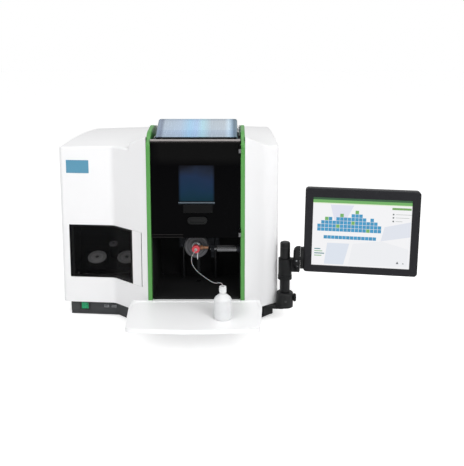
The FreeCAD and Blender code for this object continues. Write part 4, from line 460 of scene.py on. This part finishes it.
dress(bracket_paint, "arm_bracket")
dress(pole_paint, "arm_pole")
dress(bezel_satin, "screen_shell", "screen_bezel")
dress(panel_glass(), "screen_panel")
dress(casting_paint, "optical_bench", "monochromator")
dress(supply_steel, "power_supply")
dress(gas_block_paint, "gas_box")

# The sample tube, from the nebulizer's mouth into the bottle
TUBE_ROUTE = [
    (-2.0, 23.0, 245.0), (-2.0, 14.0, 245.0), (-8.0, 5.0, 239.5), (-13.5, -4.0, 229.0),
    (-12.5, -14.0, 217.0), (-5.5, -26.0, 207.5), (6.0, -42.0, 199.5), (22.0, -62.0, 194.0),
    (38.0, -84.0, 190.5), (51.0, -103.0, 189.5), (60.5, -115.5, 191.0), (68.0, -122.5, 195.0),
    (77.0, -129.2, 196.5), (81.0, -131.0, 187.5), (80.2, -130.0, 177.0), (80.6, -130.4, 167.0),
    (79.8, -129.5, 155.0), (81.0, -130.8, 138.0), (80.4, -130.2, 121.0),
]
TUBE_RADIUS = 0.001
tube_line = bpy.data.curves.new("uptake_tube", "CURVE")
tube_line.dimensions = "3D"
tube_line.bevel_depth = TUBE_RADIUS
tube_line.bevel_resolution = 4
tube_line.resolution_u = 12
tube_line.use_fill_caps = True
spline = tube_line.splines.new("NURBS")
spline.points.add(len(TUBE_ROUTE) - 1)
for point, place in zip(spline.points, TUBE_ROUTE):
    point.co = (*at(*place), 1)
spline.order_u = 3
spline.use_endpoint_u = True
uptake_tube = bpy.data.objects.new("uptake_tube", tube_line)
bpy.context.scene.collection.objects.link(uptake_tube)
tube_line.materials.append(clear_tube().material)
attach(uptake_tube, "burner")
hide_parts("sample_tube")


# Pieces that the solids leave to this script
def finished(name, mesh, finish, body):
    """Puts a mesh in the scene under its own name, as a piece of that body."""
    mesh.name = name
    mesh.materials.clear()
    mesh.materials.append(finish.material)
    piece = bpy.data.objects.new(name, mesh)
    bpy.context.scene.collection.objects.link(piece)
    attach(piece, body)
    return piece


def add_slab(shape, corners, depth, bevel=0.0):
    """Adds a prism to the shape: corners run round its front face, depth reaches to its back face."""
    front = [shape.verts.new(corner) for corner in corners]
    back = [shape.verts.new(corner + depth) for corner in corners]
    count = len(corners)
    faces = [shape.faces.new(front), shape.faces.new(back[::-1])]
    for i in range(count):
        j = (i + 1) % count
        faces.append(shape.faces.new((front[j], front[i], back[i], back[j])))
    bmesh.ops.recalc_face_normals(shape, faces=faces)
    if bevel:
        edges = list({edge for face in faces for edge in face.edges})
        bmesh.ops.bevel(shape, geom=edges, offset=bevel / 1000, segments=2, affect="EDGES", profile=0.5)


def slabs(*pieces):
    """One mesh of several prisms, each given as corners, depth and bevel in millimetres."""
    shape = bmesh.new()
    for corners, depth, bevel in pieces:
        add_slab(shape, [at(*corner) for corner in corners], Vector(depth) / 1000, bevel)
    mesh = bpy.data.meshes.new("slabs")
    shape.to_mesh(mesh)
    shape.free()
    return mesh


def bar(x0, x1, z0, z1, face_y, thickness, bevel):
    """A flat strip that lies against an upright face looking to the front."""
    corners = [(x0, face_y - thickness, z0), (x1, face_y - thickness, z0), (x1, face_y - thickness, z1),
               (x0, face_y - thickness, z1)]
    return corners, (0, thickness, 0), bevel


def turned(profile, sides=32):
    """Closed round piece about z from (radius, height) pairs in millimetres, first and last on the axis."""
    shape = bmesh.new()
    rings = []
    for radius, height in profile:
        if radius == 0:
            rings.append([shape.verts.new((0, 0, height / 1000))])
        else:
            rings.append([shape.verts.new((radius / 1000 * math.cos(turn), radius / 1000 * math.sin(turn),
                                           height / 1000))
                          for turn in (2 * math.pi * i / sides for i in range(sides))])
    for low, high in zip(rings, rings[1:]):
        for i in range(sides):
            j = (i + 1) % sides
            corners = [low[i % len(low)], low[j % len(low)], high[j % len(high)], high[i % len(high)]]
            unique = list(dict.fromkeys(corners))
            if len(unique) > 2:
                shape.faces.new(unique)
    bmesh.ops.recalc_face_normals(shape, faces=shape.faces)
    mesh = bpy.data.meshes.new("turned")
    shape.to_mesh(mesh)
    shape.free()
    for face in mesh.polygons:
        face.use_smooth = True
    mesh.set_sharp_from_angle(angle=math.radians(35))
    return mesh


def placed(mesh, place, facing=(0, 0, 1)):
    """Moves a mesh's z axis to a direction and its origin to a place in millimetres."""
    turn = Vector((0, 0, 1)).rotation_difference(Vector(facing)).to_matrix().to_4x4()
    mesh.transform(Matrix.Translation(at(*place)) @ turn)
    return mesh


def geometry_tree(name, **sizes):
    """Empty geometry tree with one named input per size, and its input and output sockets."""
    tree = bpy.data.node_groups.new(name, "GeometryNodeTree")
    tree.interface.new_socket("Geometry", in_out="INPUT", socket_type="NodeSocketGeometry")
    for size, value in sizes.items():
        kind = "NodeSocketInt" if isinstance(value, int) else "NodeSocketFloat"
        tree.interface.new_socket(size, in_out="INPUT", socket_type=kind).default_value = value
    tree.interface.new_socket("Material", in_out="INPUT", socket_type="NodeSocketMaterial")
    tree.interface.new_socket("Geometry", in_out="OUTPUT", socket_type="NodeSocketGeometry")
    return tree, tree.nodes.new("NodeGroupInput").outputs, tree.nodes.new("NodeGroupOutput").inputs


def step(tree, kind, values=None, **links):
    """Adds a node; values are its settings or unlinked inputs, links are sockets to join to inputs."""
    node = tree.nodes.new(kind)
    for key, value in (values or {}).items():
        if hasattr(node, key):
            setattr(node, key, value)
        else:
            node.inputs[key].default_value = value
    for key, source in links.items():
        tree.links.new(source, node.inputs[key.replace("_", " ")])
    return node


def times(tree, size, factor):
    """A socket's value times a fixed factor."""
    product = step(tree, "ShaderNodeMath", {"operation": "MULTIPLY"})
    tree.links.new(size, product.inputs[0])
    product.inputs[1].default_value = factor
    return product.outputs[0]


def finish_tree(tree, given, result, instances):
    """Every tree ends in real geometry that carries its material."""
    real = step(tree, "GeometryNodeRealizeInstances", Geometry=instances)
    painted = step(tree, "GeometryNodeSetMaterial", Geometry=real.outputs[0], Material=given["Material"])
    tree.links.new(painted.outputs[0], result["Geometry"])


def grow(name, tree, start, finish, body, slot, **sizes):
    """Runs a tree on a start mesh and keeps the plain mesh that comes out, as a piece of that body."""
    source = bpy.data.objects.new(name + "_start", start)
    bpy.context.scene.collection.objects.link(source)
    modifier = source.modifiers.new("grow", "NODES")
    modifier.node_group = tree
    sockets = {item.name: item.identifier for item in tree.interface.items_tree if item.in_out == "INPUT"}
    for size, value in sizes.items():
        modifier[sockets[size]] = value
    modifier[sockets["Material"]] = finish.material
    graph = bpy.context.evaluated_depsgraph_get()
    mesh = bpy.data.meshes.new_from_object(source.evaluated_get(graph), preserve_all_data_layers=True,
                                           depsgraph=graph)
    bpy.data.objects.remove(source)
    return finished(name, mesh, finish, body)


def screw_tree():
    """A socket screw's head on every point, turned by chance about the point's facing."""
    tree, given, result = geometry_tree("screw_heads", Radius=0.003, Height=0.0014, Seed=4)
    head = step(tree, "GeometryNodeMeshCone", {"Vertices": 28, "Side Segments": 1})
    top_share, socket_share, socket_lift = 0.84, 0.46, 0.9
    for socket, source in (("Radius Bottom", given["Radius"]), ("Radius Top", times(tree, given["Radius"], top_share)),
                           ("Depth", given["Height"])):
        tree.links.new(source, head.inputs[socket])
    hexagon = step(tree, "GeometryNodeMeshCylinder", {"Vertices": 6},
                   Radius=times(tree, given["Radius"], socket_share), Depth=given["Height"])
    rise = step(tree, "ShaderNodeCombineXYZ", Z=times(tree, given["Height"], socket_lift))
    raised = step(tree, "GeometryNodeTransform", Geometry=hexagon.outputs["Mesh"], Translation=rise.outputs[0])
    cut = step(tree, "GeometryNodeMeshBoolean", {"operation": "DIFFERENCE"})
    tree.links.new(head.outputs["Mesh"], cut.inputs["Mesh 1"])
    tree.links.new(raised.outputs[0], cut.inputs["Mesh 2"])
    facing = step(tree, "GeometryNodeInputNamedAttribute", {"data_type": "FLOAT_VECTOR", "Name": "facing"})
    outward = step(tree, "FunctionNodeAlignRotationToVector", {"axis": "Z"}, Vector=facing.outputs["Attribute"])
    chance = step(tree, "FunctionNodeRandomValue", {"data_type": "FLOAT"}, Seed=given["Seed"])
    drawn = chance.outputs["Value"] if chance.outputs["Value"].enabled else chance.outputs[1]
    spin = step(tree, "FunctionNodeAxisAngleToRotation", {"Axis": (0, 0, 1)}, Angle=times(tree, drawn, math.tau))
    aimed = step(tree, "FunctionNodeRotateRotation", {"rotation_space": "LOCAL"}, Rotation=outward.outputs[0],
                 Rotate_By=spin.outputs[0])
    points = step(tree, "GeometryNodeMeshToPoints", Mesh=given["Geometry"])
    heads = step(tree, "GeometryNodeInstanceOnPoints", Points=points.outputs[0], Instance=cut.outputs[0],
                 Rotation=aimed.outputs[0])
    finish_tree(tree, given, result, heads.outputs[0])
    return tree


def screw_places(places):
    """Start mesh for the screws: a vertex at each place, with the way that its head looks."""
    mesh = bpy.data.meshes.new("screw_places")
    mesh.from_pydata([place for place, _ in places], [], [])
    facing = mesh.attributes.new("facing", "FLOAT_VECTOR", "POINT")
    for i, (_, way) in enumerate(places):
        facing.data[i].vector = way
    return mesh


def rib_tree():
    """Round ribs set on end around a circle, as on a grip."""
    tree, given, result = geometry_tree("grip_ribs", Count=24, Radius=0.03, Length=0.02, Rib=0.0012)
    circle = step(tree, "GeometryNodeMeshCircle", Vertices=given["Count"], Radius=given["Radius"])
    rib = step(tree, "GeometryNodeMeshCylinder", {"Vertices": 8}, Radius=given["Rib"], Depth=given["Length"])
    ribs = step(tree, "GeometryNodeInstanceOnPoints", Points=circle.outputs[0], Instance=rib.outputs["Mesh"])
    finish_tree(tree, given, result, ribs.outputs[0])
    return tree


def tile_tree():
    """A flat tile on every point, which keeps the point's tint."""
    tree, given, result = geometry_tree("picture_tiles", Width=0.008, Height=0.008, Thickness=0.00006, Gap=0.0008)
    sides = []
    for side in ("Width", "Height"):
        less = step(tree, "ShaderNodeMath", {"operation": "SUBTRACT"})
        tree.links.new(given[side], less.inputs[0])
        tree.links.new(given["Gap"], less.inputs[1])
        sides.append(less.outputs[0])
    size = step(tree, "ShaderNodeCombineXYZ", X=sides[0], Y=given["Thickness"], Z=sides[1])
    tile = step(tree, "GeometryNodeMeshCube", Size=size.outputs[0])
    points = step(tree, "GeometryNodeMeshToPoints", Mesh=given["Geometry"])
    tiles = step(tree, "GeometryNodeInstanceOnPoints", Points=points.outputs[0], Instance=tile.outputs["Mesh"])
    finish_tree(tree, given, result, tiles.outputs[0])
    return tree


# Blank badge plate on the left wing
def wing_y(x):
    """Depth of the left wing's front face."""
    reach = WING_FRONT_LEFT - WING_FRONT_INNER
    return WING_FRONT_INNER + reach * (WING_CORNER_X - x) / (WING_CORNER_X - HOUSING_LEFT)


BADGE_X, BADGE_Z = (-402.0, -332.0), (459.0, 499.0)
BADGE_STANDS, BADGE_DEPTH, BADGE_BEVEL = 0.8, 1.2, 0.3
badge_corners = [(x, wing_y(x) - BADGE_STANDS, z) for x, z in (
    (BADGE_X[0], BADGE_Z[0]), (BADGE_X[1], BADGE_Z[0]), (BADGE_X[1], BADGE_Z[1]), (BADGE_X[0], BADGE_Z[1]))]
finished("badge_plate", slabs((badge_corners, (0, BADGE_DEPTH, 0), BADGE_BEVEL)), badge_paint, "root")

# Trim on the burner door
DOOR_FACE = 0.5
BEAD_THICK, BEAD_BEVEL = 0.7, 0.2
LOWER_BEAD_X = (-128.5, -37)
SILL_X = (-50, 55.5)
finished("door_lower_beads", slabs(bar(*LOWER_BEAD_X, 296.6, 297.9, DOOR_FACE, BEAD_THICK, BEAD_BEVEL),
                                   bar(*LOWER_BEAD_X, 289.0, 290.3, DOOR_FACE, BEAD_THICK, BEAD_BEVEL)),
         bead_black, "burner_door")
finished("door_top_bead", slabs(bar(-128.8, 128.8, 567.6, 569.2, DOOR_FACE, BEAD_THICK, BEAD_BEVEL)),
         bead_black, "burner_door")
finished("window_sill", slabs(bar(*SILL_X, 391.6, 394.4, DOOR_FACE, 1.4, 0.4),
                              bar(*SILL_X, 389.2, 390.0, DOOR_FACE, 0.5, 0.1)),
         sill_steel, "burner_door")

# Drip nipple under the nebulizer
finished("nebulizer_nipple", placed(turned([(0, 0), (0.9, 0), (1.5, 2.5), (1.7, 14), (1.4, 17), (2.4, 18),
                                            (2.4, 27), (0, 27)], 20), (2, 44, 209)),
         clip_steel, "burner")

# Skirt that brings the plinth down to just above the bench
SKIRT_FRONT_X, SKIRT_FRONT_Y = 150, 10
RIGHT_SWEEP_X, RIGHT_SWEEP_Y = 202, 79
RIGHT_CORNER_Y = 111
HOUSING_BACK = 676
SKIRT_INSET, SKIRT_WALL = 19.5, 4.0
SKIRT_BOTTOM, SKIRT_TOP = 2, 13


def whole_plan(inset):
    """Outline of the housing in plan, pulled in by that many millimetres, more or less at its bends and back."""
    bend, corner, rear = inset * 0.35, inset * 1.1, inset * 0.8
    return [(HOUSING_LEFT + inset, WING_FRONT_LEFT + inset), (WING_CORNER_X + bend, WING_FRONT_INNER + inset),
            (-SKIRT_FRONT_X, SKIRT_FRONT_Y + inset), (SKIRT_FRONT_X, SKIRT_FRONT_Y + inset),
            (RIGHT_SWEEP_X - bend, RIGHT_SWEEP_Y + inset), (HOUSING_RIGHT - inset, RIGHT_CORNER_Y + corner),
            (HOUSING_RIGHT - inset, HOUSING_BACK - rear), (HOUSING_LEFT + inset, HOUSING_BACK - rear)]


def skirt_mesh():
    """A thin wall that runs round under the base pan."""
    shape = bmesh.new()
    outer = [at(x, y, 0) for x, y in whole_plan(SKIRT_INSET)]
    inner = [at(x, y, 0) for x, y in whole_plan(SKIRT_INSET + SKIRT_WALL)]
    low, high = Vector((0, 0, SKIRT_BOTTOM / 1000)), Vector((0, 0, SKIRT_TOP / 1000))
    loops = [[shape.verts.new(p + rise) for p in ring] for ring, rise in (
        (outer, low), (outer, high), (inner, high), (inner, low))]
    count = len(outer)
    for ring, after in zip(loops, loops[1:] + loops[:1]):
        for i in range(count):
            j = (i + 1) % count
            shape.faces.new((ring[i], ring[j], after[j], after[i]))
    bmesh.ops.recalc_face_normals(shape, faces=shape.faces)
    mesh = bpy.data.meshes.new("skirt")
    shape.to_mesh(mesh)
    shape.free()
    return mesh


# Screen arm: everything on the screen is drawn about the pole, sagging one degree and turned with it
ARM_TURN = Matrix.Rotation(math.radians(-6.4), 4, "Z")
SAG_CENTRE = Vector((0.046, 0.008, 0.197))
SAG = (Matrix.Translation(SAG_CENTRE) @ Matrix.Rotation(math.radians(1.0), 4, "Y")
       @ Matrix.Translation(-SAG_CENTRE))
TO_SCREEN = Matrix.Translation(at(*POLE, 0)) @ ARM_TURN @ SAG


def on_screen(u, v, z):
    return TO_SCREEN @ (Vector((u, v, z)) / 1000)


def screen_way(u, v, z):
    return (TO_SCREEN.to_3x3() @ Vector((u, v, z))).normalized()


SCREW_HEADS = screw_tree()
low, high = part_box("rear_panel")
rear = [(Vector((low.x + (high.x - low.x) * across, high.y, low.z + (high.z - low.z) * up)), (0, 1, 0))
        for across, up in ((0.02, 0.04), (0.25, 0.04), (0.5, 0.04), (0.75, 0.04), (0.98, 0.04),
                           (0.02, 0.5), (0.98, 0.5), (0.02, 0.93), (0.25, 0.95), (0.75, 0.95), (0.98, 0.93))]
grow("rear_screws", SCREW_HEADS, screw_places(rear), fastener_zinc, "root", "rear_steel",
     Radius=0.0042, Height=0.0022, Seed=11)
BOSS_RADIUS = 26
BOSS_SCREW = at(POLE[0] + 1, POLE[1] - 25.9, 69)
boss_front = [(BOSS_SCREW, (0, -1, 0))]
grow("boss_set_screw", SCREW_HEADS, screw_places(boss_front), fastener_black, "root", "arm_black",
     Radius=0.0035, Height=0.0012, Seed=2)
cheek = [(on_screen(u, v, z), screen_way(0, -1, 0)) for u, v, z in ((35.5, -29.4, 200.0), (39.0, -26.0, 184.0))]
grow("tilt_screws", SCREW_HEADS, screw_places(cheek), fastener_zinc, "arm_collar", "arm_black",
     Radius=0.0026, Height=0.0012, Seed=6)
SCREEN_MIDDLE_X, SCREEN_BACK_Y, SCREEN_MIDDLE_Z = 226, 30.0, 291.7
screen_back = [(on_screen(SCREEN_MIDDLE_X + u, SCREEN_BACK_Y, SCREEN_MIDDLE_Z + z), screen_way(0, 1, 0))
               for u, z in ((-112, -72), (112, -72), (-112, 72), (112, 72), (-50, -50), (50, -50), (-50, 40), (50, 40))]
grow("screen_back_screws", SCREW_HEADS, screw_places(screen_back), fastener_black, "screen", "screen_black",
     Radius=0.003, Height=0.0014, Seed=9)

# Ribbed grips
GRIP_RIBS = rib_tree()


def grip(name, finish, body, slot, place, facing, **sizes):
    """Ribs round an axis that starts at a place and looks one way."""
    piece = grow(name, GRIP_RIBS, bpy.data.meshes.new(name + "_start"), finish, body, slot, **sizes)
    placed(piece.data, place, facing)


LAMP_AXIS = (0, -math.sin(LAMP_LEAN), math.cos(LAMP_LEAN))
lamp_rib = moulded("lamp_rib", srgb(34, 34, 35), 0.5, tone=0.2, Specular_IOR_Level=0.2)
LAMP_GRIP_DROP = 14
for side in ("left", "right"):
    middle = (LAMP_X[side], LAMP_SEAT[0] - LAMP_GRIP_DROP * LAMP_AXIS[1],
              LAMP_SEAT[1] - LAMP_GRIP_DROP * LAMP_AXIS[2])
    grip("lamp_grip_" + side, lamp_rib, "lamp_" + side, "lamp_shell", middle, LAMP_AXIS,
         Count=36, Radius=0.031, Length=0.018, Rib=0.0009)
CAP_RIBS_RISE = 82
grip("bottle_cap_ribs", bottle_plastic("cap_rib_polymer", srgb(242, 243, 244), 0.15), "root", "bottle_white",
     (*BOTTLE_AXIS, SHELF_TOP + CAP_RIBS_RISE), (0, 0, 1), Count=30, Radius=0.0094, Length=0.011, Rib=0.0005)
BOSS_KNOB_Z = 73
BOSS_RIBS_OUT = 4.5
boss_knob = turned([(0, -3), (5, -3), (5, 0), (10.5, 0.4), (11.5, 1.4), (11.5, 7.6), (10.4, 8.8), (5, 9.2), (0, 9.2)])
finished("boss_knob", placed(boss_knob, (POLE[0] + BOSS_RADIUS, POLE[1], BOSS_KNOB_Z), (1, 0, 0)),
         arm_paint, "root")
grip("boss_knob_ribs", arm_paint, "root", "arm_black",
     (POLE[0] + BOSS_RADIUS + BOSS_RIBS_OUT, POLE[1], BOSS_KNOB_Z), (1, 0, 0),
     Count=18, Radius=0.0115, Length=0.006, Rib=0.0009)


# The screen's picture: plain ground, header, pale facets and a field of tiles
class Picture:
    """Flat coloured pieces on the screen's face, each a little in front of the last."""

    FACE = -6.0
    LEFT, TOP = 80.0, 394.7

    def __init__(self):
        self.shape = bmesh.new()
        self.tint = self.shape.verts.layers.float_color.new("tint")
        self.layer = 0

    def patch(self, corners, colour):
        """Corners are millimetres right of and below the picture's top left corner."""
        self.layer += 1
        before = set(self.shape.verts)
        v = self.FACE - 0.04 - 0.012 * self.layer
        add_slab(self.shape, [on_screen(self.LEFT + u, v, self.TOP - down) for u, down in corners],
                 screen_way(0, 1, 0) * 0.00003)
        for vert in set(self.shape.verts) - before:
            vert[self.tint] = colour

    def box(self, u, down, width, height, colour):
        self.patch([(u, down), (u + width, down), (u + width, down + height), (u, down + height)], colour)

    def mesh(self):
        mesh = bpy.data.meshes.new("picture")
        self.shape.to_mesh(mesh)
        self.shape.free()
        return mesh


def picture_light():
    """Light of the screen, in the colour that each patch carries."""
    glow = Finish("picture_light", (0.02, 0.02, 0.02, 1), 0.22, Specular_IOR_Level=0.2)
    tint = glow.node("ShaderNodeAttribute", {"attribute_name": "tint"}).outputs["Color"]
    pixel = glow.noise(2400.0, 1.0)
    even = glow.blend(glow.spread(pixel, 0.3, 0.7, 0.0, 0.05), tint, (0.6, 0.62, 0.66, 1.0))
    glow.link("Emission Color", even)
    glow.set("Emission Strength", 0.94)
    return glow


PICTURE_WIDTH, PICTURE_HEIGHT = 292.0, 211.0
LEAF, SKY = srgb(108, 176, 92), srgb(50, 152, 200)
picture = Picture()
picture.box(0.3, 0.3, PICTURE_WIDTH - 0.6, PICTURE_HEIGHT - 0.6, srgb(246, 246, 248))
picture.box(0.3, 0.3, PICTURE_WIDTH - 0.6, 7, srgb(28, 84, 40))
picture.box(0.3, 7.3, PICTURE_WIDTH - 0.6, 9, LEAF)
picture.box(0.3, 16.3, PICTURE_WIDTH - 0.6, 2.5, srgb(224, 240, 206))
picture.patch([(52, 22), (122, 22), (96, 74), (66, 74)], srgb(226, 228, 242))
picture.patch([(46, 140), (112, 140), (96, 206), (38, 206)], srgb(222, 229, 240))
picture.patch([(214, 84), (290, 66), (290, 112), (204, 128)], srgb(226, 230, 239))
picture.patch([(122, 140), (206, 128), (286, 150), (286, 204), (110, 206)], srgb(240, 241, 244))
picture.box(234, 24, 56, 6.5, srgb(112, 164, 84))
for down, reach in ((42, 48), (52, 40), (63, 20)):
    picture.box(236, down, 4.6, 4.6, srgb(104, 112, 112))
    picture.box(245, down + 1.4, reach, 1.6, srgb(186, 190, 188))
for i, length in enumerate((18, 24, 30, 22)):
    picture.box(8, 158 + 7 * i, length, 3, srgb(150, 190, 150) if i % 2 else srgb(60, 128, 136))
picture.patch([(252, 196), (256, 188), (260, 196)], srgb(84, 92, 96))
picture.patch([(270, 196), (273, 191), (276, 196)], srgb(160, 166, 168))
screen_light = picture_light()
finished("screen_picture", picture.mesh(), screen_light, "screen")

# Columns of tiles, as many as each step of the chart is high, and one row of tiles below them
TILE = 11.2
CHART_LEFT, CHART_FOOT = 14, 104.0
ROW_LEFT, ROW_DOWN, ROW_TILES = 34, 122, 14
TILE_LIFT = 0.32
CHART_STEPS = (2, 3, 4, 4, 3, 4, 5, 4, 4, 5, 6, 5, 4, 3, 4, 3, 2)
GREEN_TILES = {(2, 3), (5, 1), (6, 4), (9, 2), (10, 5), (13, 0)}
tile_places, tile_tints = [], []
for column, steps in enumerate(CHART_STEPS):
    for row in range(steps):
        u, down = CHART_LEFT + TILE * (column + 0.5), CHART_FOOT - TILE * (row + 0.5)
        tile_places.append(on_screen(Picture.LEFT + u, Picture.FACE - TILE_LIFT, Picture.TOP - down))
        shade = 0.9 + 0.1 * ((column * 7 + row * 5) % 4) / 3
        tint = LEAF if (column, row) in GREEN_TILES else tuple(c * shade for c in SKY[:3]) + (1.0,)
        tile_tints.append(tint)
for column in range(ROW_TILES):
    u = ROW_LEFT + TILE * (column + 0.5)
    tile_places.append(on_screen(Picture.LEFT + u, Picture.FACE - TILE_LIFT, Picture.TOP - ROW_DOWN))
    tile_tints.append(tuple(c * (0.88 + 0.06 * (column % 3)) for c in SKY[:3]) + (1.0,))
tile_start = bpy.data.meshes.new("tile_places")
tile_start.from_pydata([TO_SCREEN.inverted() @ place for place in tile_places], [], [])
tile_colours = tile_start.attributes.new("tint", "FLOAT_COLOR", "POINT")
for i, tint in enumerate(tile_tints):
    tile_colours.data[i].color = tint
screen_tiles = grow("screen_tiles", tile_tree(), tile_start, screen_light, "screen", "screen_face",
                    Width=TILE / 1000, Height=TILE / 1000, Thickness=0.00004, Gap=0.0009)
screen_tiles.data.transform(TO_SCREEN)
finished("plinth_skirt", skirt_mesh(), plinth_paint, "root")


# Floor, light and background
FLOOR_GLOW = 0.52
LAMPS = (("key_light", (-1.6, -2.3, 2.2), (-0.1, 0, 0.3), 1.8, 26.0),
         ("fill_light", (1.3, -2.4, 1.9), (0.1, 0, 0.3), 1.8, 47.0),
         ("top_light", (0.0, -0.5, 2.9), (0, 0.1, 0.3), 2.0, 14.0))


def floor_and_light():
    scene = bpy.context.scene
    scene.view_settings.view_transform = "Standard"
    floor_mesh = bpy.data.meshes.new("studio_floor")
    reach = 30.0
    floor_mesh.from_pydata([(-reach, -reach, 0), (reach, -reach, 0), (reach, reach, 0), (-reach, reach, 0)], [],
                           [(0, 1, 2, 3)])
    floor = bpy.data.objects.new("studio_floor", floor_mesh)
    scene.collection.objects.link(floor)
    paper = Finish("studio_paper", (0.86, 0.86, 0.86, 1), 0.9, Specular_IOR_Level=0.1)
    paper.set("Emission Color", (1, 1, 1, 1))
    rays = paper.tree.nodes.new("ShaderNodeLightPath")
    seen = paper.maths("MAXIMUM", rays.outputs["Is Camera Ray"], rays.outputs["Is Transmission Ray"])
    paper.link("Emission Strength", paper.maths("MULTIPLY", seen, FLOOR_GLOW))
    floor_mesh.materials.append(paper.material)

    world = bpy.data.worlds.new("studio")
    scene.world = world
    world.use_nodes = True
    tree = world.node_tree
    tree.nodes.clear()
    output = tree.nodes.new("ShaderNodeOutputWorld")
    white = tree.nodes.new("ShaderNodeBackground")
    white.inputs["Color"].default_value = (1, 1, 1, 1)
    white.inputs["Strength"].default_value = 1.0
    soft = tree.nodes.new("ShaderNodeBackground")
    soft.inputs["Strength"].default_value = 1.0
    path = tree.nodes.new("ShaderNodeLightPath")
    seen = tree.nodes.new("ShaderNodeMath")
    seen.operation = "MAXIMUM"
    tree.links.new(path.outputs["Is Camera Ray"], seen.inputs[0])
    tree.links.new(path.outputs["Is Transmission Ray"], seen.inputs[1])
    sky = tree.nodes.new("ShaderNodeTexCoord")
    parts = tree.nodes.new("ShaderNodeSeparateXYZ")
    tree.links.new(sky.outputs["Generated"], parts.inputs[0])
    away = tree.nodes.new("ShaderNodeMapRange")
    away.inputs["From Min"].default_value = -0.75
    away.inputs["From Max"].default_value = 0.1
    away.inputs["To Min"].default_value = 0.3
    away.inputs["To Max"].default_value = 0.66
    tree.links.new(parts.outputs["Y"], away.inputs["Value"])
    tree.links.new(away.outputs[0], soft.inputs["Color"])
    mix = tree.nodes.new("ShaderNodeMixShader")
    tree.links.new(seen.outputs[0], mix.inputs[0])
    tree.links.new(soft.outputs[0], mix.inputs[1])
    tree.links.new(white.outputs[0], mix.inputs[2])
    tree.links.new(mix.outputs[0], output.inputs["Surface"])

    for name, place, aim, size, power in LAMPS:
        lamp = bpy.data.lights.new(name, "AREA")
        lamp.shape = "DISK"
        lamp.size = size
        lamp.energy = power
        holder = bpy.data.objects.new(name, lamp)
        holder.location = place
        holder.rotation_euler = (Vector(aim) - Vector(place)).to_track_quat("-Z", "Y").to_euler()
        scene.collection.objects.link(holder)


floor_and_light()
